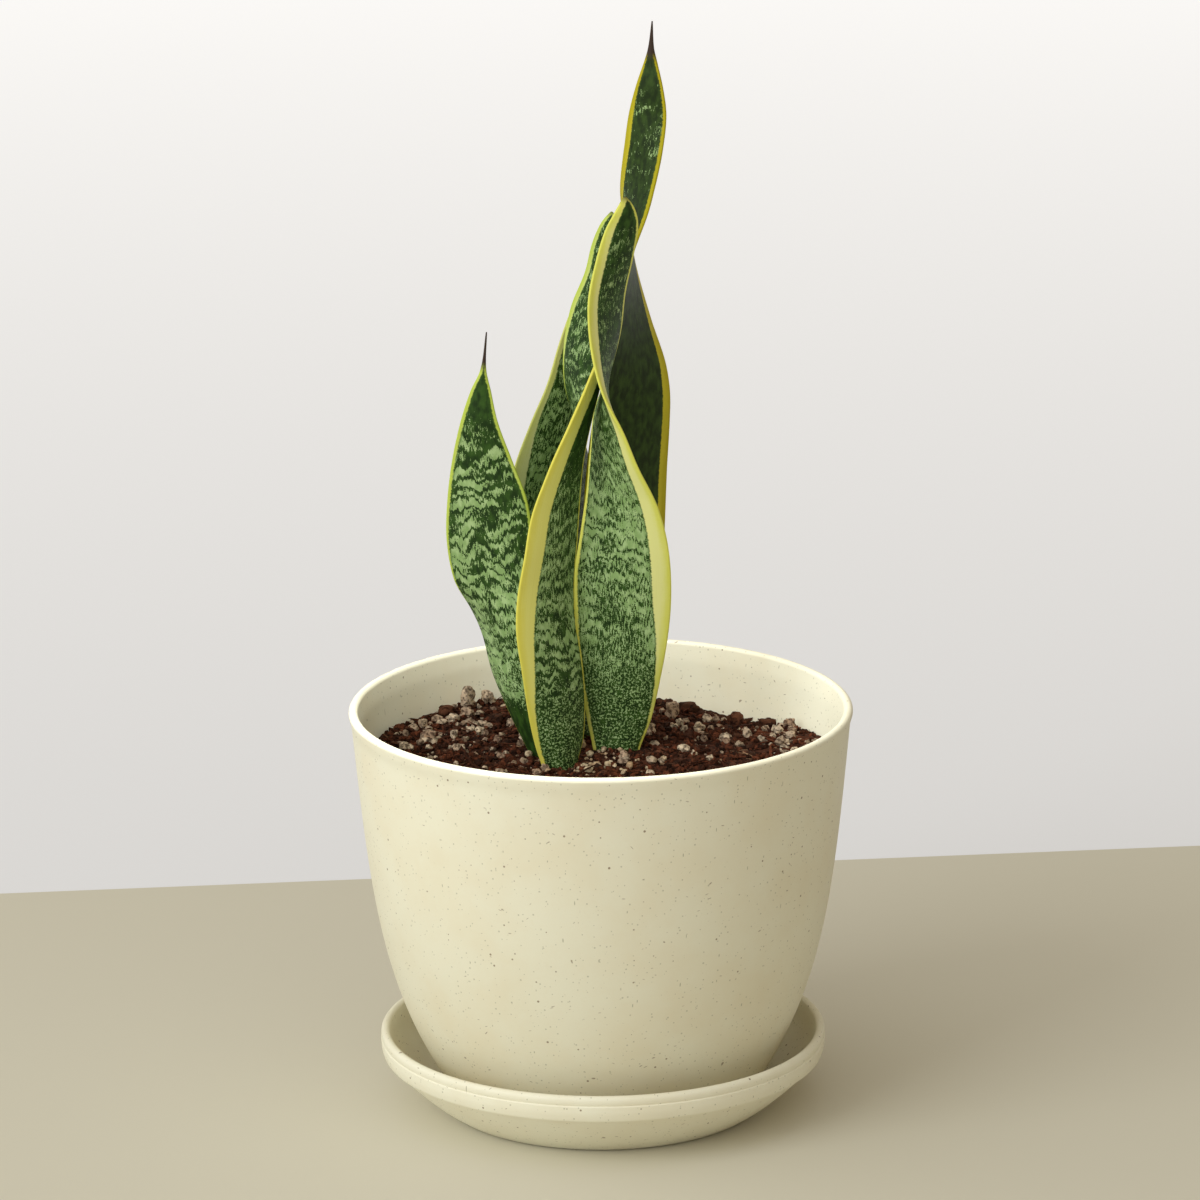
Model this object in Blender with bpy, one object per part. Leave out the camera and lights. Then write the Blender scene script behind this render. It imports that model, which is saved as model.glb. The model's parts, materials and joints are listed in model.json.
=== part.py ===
"""A snake plant in a plant-fibre pot with its saucer, modelled as separate solids.

The pot stands in the saucer, the soil fills the pot up to a head space, a knobbly
rhizome lies buried in the soil, six stiff leaves rise from it, and loose pumice
grains, bark chips and pebbles lie on top. Everything rests; nothing is jointed.
Frame: metres, +Z up, origin on the pot's axis at the surface that the saucer stands
on, and -Y is the side of the two front leaves.
"""

import math
import random
from typing import NamedTuple

import bmesh
import bpy
from mathutils import Euler, Matrix, Vector, noise
from mathutils.bvhtree import BVHTree

MM = 0.001
GAP = 0.3 * MM  # between pieces that touch
SEGMENTS = 48  # around every turned piece
SEED = 7

# ---- pot, a turned cup with a bulging lower half ----
RIM_HEIGHT = 131.5 * MM  # top of the rim above the floor
RIM_RADIUS = 80.0 * MM  # outside of the rounded lip
WALL = 3.0 * MM
BODY_RADIUS = 79.6 * MM  # wall outside, just under the lip
BODY_TAPER = 11.9 * MM  # straight part of the wall's draw-in
BODY_CURL = 20.5 * MM  # extra draw-in that grows towards the foot
BODY_CURL_POWER = 4.0
LIP_DROP = 4.0 * MM  # how far the lip's swell reaches down
FLOOR_THICKNESS = 4.0 * MM
FOOT_RING = 6.0 * MM  # width of the ring that the pot stands on
FOOT_RECESS = 1.2 * MM
DRAIN_RADIUS = 2.6 * MM
DRAIN_CIRCLE = 24.0 * MM
DRAIN_COUNT = 6  # around one in the middle

# ---- saucer ----
SAUCER_FLOOR = 4.0 * MM  # top of its floor
SAUCER_FOOT_RADIUS = 51.0 * MM
SAUCER_LIP_RADIUS = 71.2 * MM
SAUCER_HEIGHT = 25.0 * MM
SAUCER_RECESS_RADIUS = 44.0 * MM
SAUCER_RECESS = 0.8 * MM

POT_BASE = SAUCER_FLOOR + GAP
POT_HEIGHT = RIM_HEIGHT - POT_BASE

# ---- soil ----
SOIL_LEVEL = 112.6 * MM
SOIL_RINGS = 11
SOIL_LUMP = 0.9 * MM
LUMP_SIZE = 13.0 * MM
POCKET_CLEARANCE = 0.35 * MM  # between a leaf or the rhizome and the soil round it
LEAF_BASE = 103.0 * MM  # where the leaves spring from the rhizome, under the soil


class Swell(NamedTuple):
    """A rise or dip of the soil: its middle, its height and how far it spreads, in mm."""

    x: float
    y: float
    rise: float
    spread: float


SOIL_SWELLS = (
    Swell(-70, 24, 2.6, 30),
    Swell(-34, 66, 2.0, 26),
    Swell(48, 58, -3.6, 24),
    Swell(72, 20, 1.6, 16),
    Swell(5, 12, 1.8, 16),
    Swell(-14, -4, -1.0, 12),
    Swell(0, -60, -1.5, 30),
)


class Station(NamedTuple):
    """One cross-section of a leaf, in mm and degrees.

    turn is how far the blade is turned about its length: at 0 its width lies along X,
    and a positive turn swings its right edge back. bulge is how far the middle of the
    blade stands proud of its two edges, on the front side.
    """

    height: float
    x: float
    y: float
    half_width: float
    turn: float
    bulge: float


LEAVES = {
    "leaf_left": (
        Station(103, -16.5, 8, 4.6, -30, 2.0),
        Station(112, -17.7, 8, 5.2, -32, 2.2),
        Station(124, -21.0, 8, 9.0, -36, 2.4),
        Station(138, -25.2, 8, 11.8, -40, 2.2),
        Station(151, -28.0, 8, 12.9, -42, 2.0),
        Station(160, -30.3, 7, 13.4, -36, 1.6),
        Station(171, -33.2, 7, 13.8, -16, 1.0),
        Station(184, -34.7, 7, 13.9, -8, 0.6),
        Station(197, -35.3, 7, 12.8, -6, 0.4),
        Station(210, -36.8, 7, 9.6, -6, 0.2),
        Station(223, -37.6, 6, 5.9, -6, 0.1),
        Station(233, -37.0, 6, 3.2, -6, 0.0),
        Station(240, -36.1, 6, 0.9, -6, 0.0),
        Station(252, -35.0, 6, 0.2, -6, 0.0),
    ),
    "leaf_back_left": (
        Station(103, -16.5, 36, 4.6, 20, 2.0),
        Station(118, -17.5, 36, 7.0, 25, 2.2),
        Station(136, -19.4, 36, 10.2, 30, 1.8),
        Station(160, -20.4, 36, 12.6, 32, 1.2),
        Station(182, -19.4, 36, 13.2, 30, 0.8),
        Station(201, -16.2, 37, 12.7, 30, 0.5),
        Station(215, -12.4, 39, 11.0, 30, 0.3),
        Station(227, -9.0, 40, 8.8, 30, 0.2),
        Station(240, -7.0, 40, 6.5, 30, 0.1),
        Station(249, -6.2, 40, 3.6, 30, 0.0),
        Station(254, -5.8, 40, 0.9, 30, 0.0),
        Station(259, -5.2, 40, 0.2, 30, 0.0),
    ),
    "leaf_middle_twisted": (
        Station(103, -6.5, 23, 4.4, -140, -1.8),
        Station(118, -7.5, 24, 6.4, -138, -2.0),
        Station(138, -10.0, 25, 9.0, -134, -1.6),
        Station(165, -11.5, 26, 10.4, -130, -1.0),
        Station(188, -9.4, 26, 10.0, -120, -0.6),
        Station(200, -6.5, 26, 9.6, -112, -0.4),
        Station(214, -6.2, 26, 9.2, -88, 0.0),
        Station(227, -5.7, 26, 10.2, -62, 0.4),
        Station(240, -4.2, 25, 10.4, -50, 0.6),
        Station(254, -0.8, 24, 9.8, -38, 0.6),
        Station(266, 2.0, 23, 7.2, -34, 0.4),
        Station(276, 3.4, 22, 5.8, -30, 0.2),
        Station(283, 4.0, 21, 3.2, -30, 0.1),
        Station(287, 4.6, 21, 0.3, -30, 0.0),
    ),
    "leaf_front_twisted": (
        Station(103, 4.5, 10, 5.6, -2, 2.2),
        Station(114, 4.9, 10, 7.3, -3, 2.4),
        Station(124, 5.8, 10, 10.2, -4, 2.2),
        Station(144, 6.5, 8, 13.8, -7, 1.6),
        Station(158, 7.0, 7, 15.3, -9, 1.3),
        Station(171, 7.2, 6, 15.8, -13, 1.0),
        Station(185, 7.7, 5, 15.3, -26, 0.8),
        Station(198, 7.1, 4, 14.8, -41, 0.6),
        Station(211, 4.9, 3, 14.2, -58, 0.4),
        Station(224, 3.0, 2, 13.6, -72, 0.2),
        Station(236, 2.2, 1, 12.5, -94, 0.0),
        Station(250, 2.3, 1, 10.8, -115, -0.2),
        Station(264, 2.7, 0, 9.4, -128, -0.3),
        Station(277, 5.3, -1, 7.6, -140, -0.4),
        Station(287, 7.6, -2, 5.8, -150, -0.3),
        Station(293, 8.7, -3, 3.2, -152, -0.1),
        Station(297, 8.6, -3, 0.4, -152, 0.0),
    ),
    "leaf_tall_twisted": (
        Station(103, 8.0, 33, 5.0, 10, 2.0),
        Station(118, 7.4, 33, 6.8, 14, 2.2),
        Station(138, 7.4, 33, 11.0, 20, 1.8),
        Station(165, 7.4, 34, 14.4, 26, 1.2),
        Station(196, 8.5, 34, 15.8, 34, 0.8),
        Station(219, 10.6, 34, 15.4, 37, 0.6),
        Station(232, 11.5, 34, 14.8, 48, 0.4),
        Station(245, 10.8, 34, 14.0, 63, 0.2),
        Station(259, 10.2, 34, 13.0, 77, 0.0),
        Station(276, 10.7, 33, 11.0, 96, 0.0),
        Station(290, 12.3, 32, 8.9, 123, -0.2),
        Station(305, 14.7, 31, 7.5, 142, -0.3),
        Station(316, 16.1, 31, 6.7, 149, -0.3),
        Station(325, 16.7, 30, 4.8, 150, -0.2),
        Station(333, 17.1, 30, 2.2, 150, 0.0),
        Station(337, 17.2, 30, 1.0, 150, 0.0),
        Station(346, 17.6, 30, 0.2, 150, 0.0),
    ),
    "leaf_front_left": (
        Station(103, -12.0, -2, 4.6, 28, 2.2),
        Station(112, -13.3, -2, 6.0, 30, 2.6),
        Station(120, -13.4, -2, 8.6, 30, 2.8),
        Station(133, -14.2, -2, 10.9, 34, 2.6),
        Station(146, -15.6, -2, 12.0, 38, 2.2),
        Station(158, -17.1, -2, 12.5, 42, 1.8),
        Station(171, -17.0, -1, 12.5, 45, 1.5),
        Station(184, -15.3, 0, 12.0, 47, 1.2),
        Station(197, -13.5, 1, 11.0, 48, 0.9),
        Station(210, -10.2, 3, 9.0, 54, 0.6),
        Station(223, -5.8, 5, 6.9, 58, 0.4),
        Station(233, -2.2, 6, 4.4, 55, 0.2),
        Station(241, 0.4, 7, 2.4, 50, 0.0),
        Station(247, 1.8, 8, 0.3, 50, 0.0),
    ),
}
LEAF_RINGS = 27
LEAF_COLUMNS = 5  # points across each side of a blade
BLADE_THICKNESS = 2.0 * MM
BASE_THICKNESS = 4.0 * MM  # where a leaf leaves the rhizome
EDGE_SHARE = 0.4  # edge thickness over the thickness in the middle
BASE_REACH = 45.0 * MM  # how far up the extra thickness of the base is felt


class Grain(NamedTuple):
    """A loose piece on the soil: where it lies and its length, width and height, in mm."""

    x: float
    y: float
    length: float
    width: float
    height: float


PUMICE_GRAINS = (
    Grain(-43, 54, 5.4, 5.0, 7.0),
    Grain(-43, 43, 5.6, 4.4, 3.4),
    Grain(-48, 37, 5.2, 4.0, 2.8),
    Grain(-57, 30, 3.8, 3.4, 3.4),
    Grain(-55, 16, 4.6, 3.8, 3.4),
    Grain(-47, 21, 3.0, 3.0, 2.8),
    Grain(-46, 9, 3.4, 3.0, 2.4),
    Grain(-39, 27, 3.8, 3.2, 2.4),
    Grain(-37, 59, 4.8, 4.4, 4.2),
    Grain(23, 52, 6.0, 5.6, 5.4),
    Grain(32, 34, 4.4, 4.0, 3.0),
    Grain(16, 29, 4.0, 3.6, 3.2),
    Grain(61, 35, 4.4, 4.0, 3.6),
    Grain(47, 26, 3.6, 3.4, 3.4),
    Grain(-20, -40, 5.0, 4.2, 3.6),
    Grain(28, -46, 4.6, 4.0, 3.4),
)
BARK_CHIPS = (
    Grain(-50, 46, 6.0, 4.0, 3.2),
    Grain(29, 60, 9.5, 5.0, 3.4),
    Grain(44, 47, 6.6, 5.4, 4.2),
    Grain(54, 40, 7.6, 4.4, 3.4),
    Grain(-34, 40, 5.4, 4.0, 2.8),
    Grain(8, -50, 8.0, 4.6, 2.8),
)
PEBBLES = (
    Grain(-23, 4.5, 3.0, 2.4, 2.0),
    Grain(-6, 11, 3.0, 2.8, 2.8),
    Grain(-3.5, 3.5, 3.0, 2.4, 1.8),
    Grain(2, -7, 2.4, 2.2, 2.0),
    Grain(9, -9, 2.4, 2.4, 2.3),
    Grain(-4, -11.5, 3.6, 2.4, 1.9),
)

# ---- rhizome: runners between the leaves, with a crown and roots under each ----
RHIZOME_TOP = LEAF_BASE - GAP
CROWN_RADIUS = 4.6 * MM
RUNNER_RADIUS = 5.6 * MM
ROOT_RADIUS = 1.3 * MM
RUNNER_HEIGHT = 89.0 * MM
RUNNER_ORDER = (
    "leaf_left",
    "leaf_front_left",
    "leaf_front_twisted",
    "leaf_middle_twisted",
    "leaf_back_left",
)
ROOTS_PER_CROWN = 1
ROOT_REACH = 20.0 * MM
ROOT_DROP = 14.0 * MM

FINISHES = {
    "plant_fibre": ((0.80, 0.73, 0.55), 0.55),
    "potting_mix": ((0.07, 0.032, 0.02), 0.95),
    "leaf_green": ((0.045, 0.13, 0.04), 0.45),
    "rhizome_tan": ((0.45, 0.27, 0.13), 0.8),
    "pumice": ((0.52, 0.37, 0.30), 0.95),
    "bark": ((0.11, 0.045, 0.025), 0.9),
    "pebble": ((0.75, 0.62, 0.42), 0.8),
}


def clear_scene():
    """Remove whatever the file opened with."""
    for old in list(bpy.data.objects):
        bpy.data.objects.remove(old)


def finish(name):
    """Return the material of this name, made on first use."""
    found = bpy.data.materials.get(name)
    if found:
        return found
    colour, roughness = FINISHES[name]
    made = bpy.data.materials.new(name)
    made.use_nodes = True
    shader = made.node_tree.nodes["Principled BSDF"]
    shader.inputs["Base Color"].default_value = (*colour, 1.0)
    shader.inputs["Roughness"].default_value = roughness
    made.diffuse_color = (*colour, 1.0)
    return made


def add_object(name, shape, material):
    """Turn a bmesh into a named object with its material, faces out and shaded smooth."""
    bmesh.ops.recalc_face_normals(shape, faces=shape.faces)
    mesh = bpy.data.meshes.new(name)
    shape.to_mesh(mesh)
    shape.free()
    mesh.shade_smooth()
    mesh.set_sharp_from_angle(angle=math.radians(40))
    made = bpy.data.objects.new(name, mesh)
    made.data.materials.append(finish(material))
    bpy.context.scene.collection.objects.link(made)
    return made


def hide_cutter(cutter):
    """Mark a helper, so that only the pieces that it shapes are seen."""
    cutter.hide_render = True
    cutter.display_type = "WIRE"


def cut(target, cutter):
    """Take the cutter's shape out of the target."""
    hide_cutter(cutter)
    step = target.modifiers.new(f"cut_{cutter.name}", "BOOLEAN")
    step.operation = "DIFFERENCE"
    step.solver = "EXACT"
    step.object = cutter


def blend(start, end, share):
    """Return the value this share of the way from start to end."""
    return start + (end - start) * share


def arc(centre_r, centre_z, radius, from_angle, to_angle, steps):
    """Return (r, z) points along a circular arc, angles in degrees."""
    turns = [math.radians(blend(from_angle, to_angle, i / steps)) for i in range(steps + 1)]
    return [(centre_r + radius * math.cos(a), centre_z + radius * math.sin(a)) for a in turns]


def turned(name, profile, material):
    """Spin an (r, z) outline, which starts and ends on the axis, into a closed solid."""
    shape = bmesh.new()
    points = [shape.verts.new((r, 0.0, z)) for r, z in profile]
    edges = [shape.edges.new(pair) for pair in zip(points, points[1:])]
    bmesh.ops.spin(
        shape,
        geom=points + edges,
        cent=(0, 0, 0),
        axis=(0, 0, 1),
        angle=2 * math.pi,
        steps=SEGMENTS,
    )
    bmesh.ops.remove_doubles(shape, verts=shape.verts, dist=0.01 * MM)
    return add_object(name, shape, material)


# ---------------------------------------------------------------- pot and saucer


def pot_radius(height):
    """Return the outside radius of the pot's wall at a height above the floor."""
    down = (RIM_HEIGHT - height) / POT_HEIGHT
    swell = max(0.0, 1 - (RIM_HEIGHT - height) / LIP_DROP)
    lip = (RIM_RADIUS - BODY_RADIUS) * swell
    return BODY_RADIUS + lip - BODY_TAPER * down - BODY_CURL * down**BODY_CURL_POWER


def cavity_radius(height):
    """Return the inside radius of the pot's wall at a height above the floor."""
    return pot_radius(height) - WALL


def pot_profile():
    """Return the pot's outline, from the middle of its underside round to its floor inside."""
    foot = pot_radius(POT_BASE)
    lip = WALL / 2
    outside = [POT_BASE + POT_HEIGHT * s for s in (0.012, 0.06, 0.13, 0.21, 0.31, 0.43, 0.57, 0.74, 0.9)]
    inner_floor = POT_BASE + FLOOR_THICKNESS
    cavity = [blend(RIM_HEIGHT - lip, inner_floor, s) for s in (0.12, 0.3, 0.5, 0.66, 0.79, 0.88, 0.94, 0.98)]
    ring = foot - FOOT_RING
    return [
        (0.0, POT_BASE + FOOT_RECESS),
        (ring - FOOT_RECESS, POT_BASE + FOOT_RECESS),
        (ring, POT_BASE),
        (foot - 1.0 * MM, POT_BASE),
        *((pot_radius(z), z) for z in outside),
        *arc(RIM_RADIUS - lip, RIM_HEIGHT - lip, lip, 0, 180, 6),
        *((cavity_radius(z), z) for z in cavity),
        (cavity_radius(inner_floor) - 3.0 * MM, inner_floor),
        (0.0, inner_floor),
    ]


def make_pot():
    """Build the pot, with its drain holes cut."""
    pot = turned("pot", pot_profile(), "plant_fibre")
    shape = bmesh.new()
    spots = [(0.0, 0.0)]
    for i in range(DRAIN_COUNT):
        turn = 2 * math.pi * (i + 0.5) / DRAIN_COUNT
        spots.append((DRAIN_CIRCLE * math.cos(turn), DRAIN_CIRCLE * math.sin(turn)))
    for x, y in spots:
        bmesh.ops.create_cone(
            shape,
            cap_ends=True,
            segments=12,
            radius1=DRAIN_RADIUS,
            radius2=DRAIN_RADIUS,
            depth=4 * FLOOR_THICKNESS,
            matrix=Matrix.Translation((x, y, POT_BASE)),
        )
    cut(pot, add_object("drain_cutter", shape, "plant_fibre"))
    return pot


def saucer_profile():
    """Return the saucer's outline, from the middle of its underside round to its floor."""
    wall = [(56.2, 4.0), (62.0, 9.0), (66.6, 13.5), (69.1, 16.2)]
    band = [(70.4, 17.0), (71.2, 19.4), (71.2, 22.2)]
    inside = [(67.8, 22.4), (66.4, 18.0), (63.6, 13.6), (59.0, 9.2), (53.0, 5.6), (49.5, 4.3)]
    lip = 1.45 * MM
    crest = SAUCER_LIP_RADIUS - lip
    return [
        (0.0, SAUCER_RECESS),
        (SAUCER_RECESS_RADIUS - SAUCER_RECESS, SAUCER_RECESS),
        (SAUCER_RECESS_RADIUS, 0.0),
        (SAUCER_FOOT_RADIUS - 1.0 * MM, 0.0),
        (SAUCER_FOOT_RADIUS, 0.4 * MM),
        *((r * MM, z * MM) for r, z in wall + band),
        *arc(crest, SAUCER_HEIGHT - lip, lip, 0, 180, 4),
        *((r * MM, z * MM) for r, z in inside),
        (47.0 * MM, SAUCER_FLOOR),
        (0.0, SAUCER_FLOOR),
    ]


def make_saucer():
    """Build the saucer."""
    return turned("saucer", saucer_profile(), "plant_fibre")


# ---------------------------------------------------------------- leaves


def smooth_value(stations, field, height):
    """Read one field of a leaf between its stations, on a smooth curve through them."""
    heights = [s.height for s in stations]
    values = [getattr(s, field) for s in stations]
    height = min(max(height, heights[0]), heights[-1])
    last = len(heights) - 2
    i = next(k for k in range(last + 1) if height <= heights[k + 1] or k == last)

    def slope(k):
        low, high = max(k - 1, 0), min(k + 1, len(heights) - 1)
        return (values[high] - values[low]) / (heights[high] - heights[low])

    span = heights[i + 1] - heights[i]
    t = (height - heights[i]) / span
    return (
        (2 * t**3 - 3 * t**2 + 1) * values[i]
        + (t**3 - 2 * t**2 + t) * span * slope(i)
        + (3 * t**2 - 2 * t**3) * values[i + 1]
        + (t**3 - t**2) * span * slope(i + 1)
    )


def blade_ring(stations, height, grow):
    """Return the points round one cross-section of a leaf, front edge to edge and back."""
    station = Station(height, *(smooth_value(stations, f, height) for f in Station._fields[1:]))
    turn = math.radians(station.turn)
    across = Vector((math.cos(turn), math.sin(turn), 0.0))
    front = Vector((math.sin(turn), -math.cos(turn), 0.0))
    middle = Vector((station.x, station.y, height)) * MM
    half_width = max(station.half_width, 0.2) * MM
    above_base = max(0.0, 1 - (height * MM - LEAF_BASE) / BASE_REACH)
    thickness = blend(BLADE_THICKNESS, BASE_THICKNESS, above_base**2)
    thickness = min(thickness, 1.5 * half_width)
    places = [-1 + 2 * i / (LEAF_COLUMNS - 1) for i in range(LEAF_COLUMNS)]

    def point(place, side):
        crown = 1 - place * place
        half_thickness = thickness / 2 * (EDGE_SHARE + (1 - EDGE_SHARE) * crown) + grow
        offset = station.bulge * MM * crown + side * half_thickness
        return middle + across * place * (half_width + grow) + front * offset

    return [point(p, 1) for p in places] + [point(p, -1) for p in reversed(places)]


def blade(name, stations, heights, grow, material):
    """Loft a leaf, or with grow a cutter that clears it, through the given heights."""
    shape = bmesh.new()
    rings = [[shape.verts.new(p) for p in blade_ring(stations, h, grow)] for h in heights]
    for low, high in zip(rings, rings[1:]):
        for i in range(len(low)):
            j = (i + 1) % len(low)
            shape.faces.new((low[i], low[j], high[j], high[i]))
    shape.faces.new(list(reversed(rings[0])))
    shape.faces.new(rings[-1])
    return add_object(name, shape, material)


def make_leaves():
    """Build the six leaves, each a lofted and twisted blade."""
    for name, stations in LEAVES.items():
        low, high = stations[0].height, stations[-1].height
        heights = [blend(low, high, i / (LEAF_RINGS - 1)) for i in range(LEAF_RINGS)]
        blade(name, stations, heights, 0.0, "leaf_green")


# ---------------------------------------------------------------- rhizome


def rhizome_skeleton():
    """Return the rhizome's joints as (place, radius) and its branches as index pairs."""
    joints, branches = [], []

    def grow(place, radius, parent):
        joints.append((Vector(place), radius))
        if parent is not None:
            branches.append((parent, len(joints) - 1))
        return len(joints) - 1

    random.seed(SEED)
    runner = {}
    previous = None
    for name in (*RUNNER_ORDER, "leaf_tall_twisted"):
        base = LEAVES[name][0]
        if name == "leaf_tall_twisted":
            previous = runner["leaf_front_twisted"]
        place = (base.x * MM, base.y * MM, RUNNER_HEIGHT)
        runner[name] = previous = grow(place, RUNNER_RADIUS, previous)
        crown = (base.x * MM, base.y * MM, RHIZOME_TOP - CROWN_RADIUS)
        grow(crown, CROWN_RADIUS, previous)
    for name, joint in list(runner.items()):
        place = joints[joint][0]
        outward = math.atan2(place.y - 18 * MM, place.x + 6 * MM)
        for _ in range(ROOTS_PER_CROWN):
            aim = outward + random.uniform(-0.5, 0.5)
            reach = Vector((math.cos(aim), math.sin(aim), 0.0)) * ROOT_REACH
            knee = place + reach * 0.5 - Vector((0, 0, ROOT_DROP * 0.45))
            tip = place + reach - Vector((0, 0, ROOT_DROP * 1.7))
            bend = grow(knee, ROOT_RADIUS, joint)
            grow(tip, ROOT_RADIUS * 0.8, bend)
    return joints, branches


def capsule(name, ends, extra, material):
    """Build the rounded piece between two joints of the rhizome, thicker by extra."""
    balls = bmesh.new()
    along = (ends[1][0] - ends[0][0]).to_track_quat("Z", "Y").to_matrix().to_4x4()
    for place, radius in ends:
        at = Matrix.Translation(place) @ along
        bmesh.ops.create_icosphere(balls, subdivisions=1, radius=radius + extra, matrix=at)
    shape = bmesh.new()
    for vertex in balls.verts:
        shape.verts.new(vertex.co)
    balls.free()
    hull = bmesh.ops.convex_hull(shape, input=shape.verts)
    loose = {v for v in hull["geom_interior"] + hull["geom_unused"] if isinstance(v, bmesh.types.BMVert)}
    bmesh.ops.delete(shape, geom=list(loose), context="VERTS")
    return add_object(name, shape, material)


def joined_branches(name, extra, material):
    """Join the rhizome's branches into one body, thicker by extra."""
    joints, branches = rhizome_skeleton()
    first, *others = [
        capsule(f"{name}_{i}", (joints[a], joints[b]), extra, material)
        for i, (a, b) in enumerate(branches)
    ]
    first.name = name
    for other in others:
        hide_cutter(other)
        step = first.modifiers.new(f"join_{other.name}", "BOOLEAN")
        step.operation = "UNION"
        step.solver = "EXACT"
        step.object = other
    return first


def make_rhizome():
    """Build the buried rhizome that all the leaves grow from."""
    return joined_branches("rhizome", 0.0, "rhizome_tan")


# ---------------------------------------------------------------- soil


def soil_height(x, y):
    """Return the height of the soil's surface, without the finest crumbs."""
    level = SOIL_LEVEL
    for swell in SOIL_SWELLS:
        far = math.hypot(x / MM - swell.x, y / MM - swell.y) / swell.spread
        level += swell.rise * MM * math.exp(-far * far)
    return level + SOIL_LUMP * noise.noise(Vector((x, y, 0.0)) / LUMP_SIZE)


def make_soil():
    """Build the block of potting mix: the pot's cavity less a gap, with a lumpy top."""
    bottom = POT_BASE + FLOOR_THICKNESS + GAP
    heights = [blend(bottom, SOIL_LEVEL - 8 * MM, s) for s in (0.0, 0.04, 0.1, 0.18, 0.3, 0.5, 0.75, 1.0)]
    shape = bmesh.new()
    turns = [2 * math.pi * i / SEGMENTS for i in range(SEGMENTS)]

    def ring(radius, height):
        places = [(radius * math.cos(a), radius * math.sin(a)) for a in turns]
        return [shape.verts.new((x, y, height if height else soil_height(x, y))) for x, y in places]

    edge = cavity_radius(SOIL_LEVEL) - 2 * GAP
    rings = [ring(cavity_radius(bottom) - 3.6 * MM, bottom)]
    rings += [ring(cavity_radius(z) - 2 * GAP, z) for z in heights[1:]]
    rings += [ring(edge * (1 - i / SOIL_RINGS), 0.0) for i in range(SOIL_RINGS)]
    for low, high in zip(rings, rings[1:]):
        for i in range(SEGMENTS):
            j = (i + 1) % SEGMENTS
            shape.faces.new((low[i], low[j], high[j], high[i]))
    peak = shape.verts.new((0.0, 0.0, soil_height(0.0, 0.0)))
    for i in range(SEGMENTS):
        shape.faces.new((rings[-1][i], rings[-1][(i + 1) % SEGMENTS], peak))
    shape.faces.new(list(reversed(rings[0])))
    soil = add_object("soil", shape, "potting_mix")
    for name, stations in LEAVES.items():
        heights = [LEAF_BASE / MM - 0.5, 108.0, 113.0, 119.0, 126.0]
        cut(soil, blade(f"{name}_cutter", stations, heights, POCKET_CLEARANCE, "potting_mix"))
    cut(soil, joined_branches("rhizome_cutter", POCKET_CLEARANCE, "potting_mix"))
    return soil


# ---------------------------------------------------------------- loose pieces


def surface_of(made):
    """Return a search tree over an object's evaluated mesh."""
    return BVHTree.FromObject(made, bpy.context.evaluated_depsgraph_get())


def settle(shape, surface):
    """Lower a grain onto the soil until its lowest clearance is the gap."""
    high = Vector((0, 0, RIM_HEIGHT))
    down = Vector((0, 0, -1))
    clearances = []
    for vertex in shape.verts:
        hit = surface.ray_cast(Vector((vertex.co.x, vertex.co.y, 0)) + high, down)[0]
        if hit is not None:
            clearances.append(vertex.co.z - hit.z)
    bmesh.ops.translate(shape, verts=shape.verts, vec=(0, 0, 1.3 * GAP - min(clearances)))


def make_grains(prefix, grains, material, roughness, flat, surface):
    """Build loose pieces on the soil, each a knocked-about lump of its own size."""
    for number, grain in enumerate(grains, 1):
        shape = bmesh.new()
        bmesh.ops.create_icosphere(shape, subdivisions=1, radius=0.5)
        for vertex in shape.verts:
            knock = noise.noise(vertex.co * 2.3 + Vector((grain.x, grain.y, number)))
            vertex.co *= 1 + roughness * knock
            vertex.co.z = math.copysign(min(abs(vertex.co.z), flat), vertex.co.z)
        size = Matrix.Diagonal((grain.length * MM, grain.width * MM, grain.height * MM / (2 * flat), 1))
        spin = Euler((0, 0, random.uniform(-0.5, 0.5))).to_matrix().to_4x4()
        place = Matrix.Translation((grain.x * MM, grain.y * MM, SOIL_LEVEL))
        bmesh.ops.transform(shape, verts=shape.verts, matrix=place @ spin @ size)
        settle(shape, surface)
        add_object(f"{prefix}_{number:02d}", shape, material)


def main():
    clear_scene()
    make_saucer()
    make_pot()
    make_leaves()
    make_rhizome()
    surface = surface_of(make_soil())
    random.seed(SEED)
    make_grains("pumice_grain", PUMICE_GRAINS, "pumice", 0.3, 0.46, surface)
    make_grains("bark_chip", BARK_CHIPS, "bark", 0.25, 0.36, surface)
    make_grains("pebble", PEBBLES, "pebble", 0.2, 0.47, surface)


main()
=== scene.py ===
"""Finishes and fine shapes for a potted snake plant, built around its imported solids.

The pot and saucer are turned again with finer outlines, the potting mix gets its
relief, crumbs, fibres and loose grains, and the six leaves are lofted as fine blades
with banded, speckled and yellow-edged skins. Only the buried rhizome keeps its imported
solid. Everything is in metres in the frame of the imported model: +Z up, the origin on
the pot's axis at the floor, and -Y towards the viewer.
"""

from __future__ import annotations

import logging
import math
from dataclasses import dataclass
from enum import Enum
from typing import NamedTuple, Sequence

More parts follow.
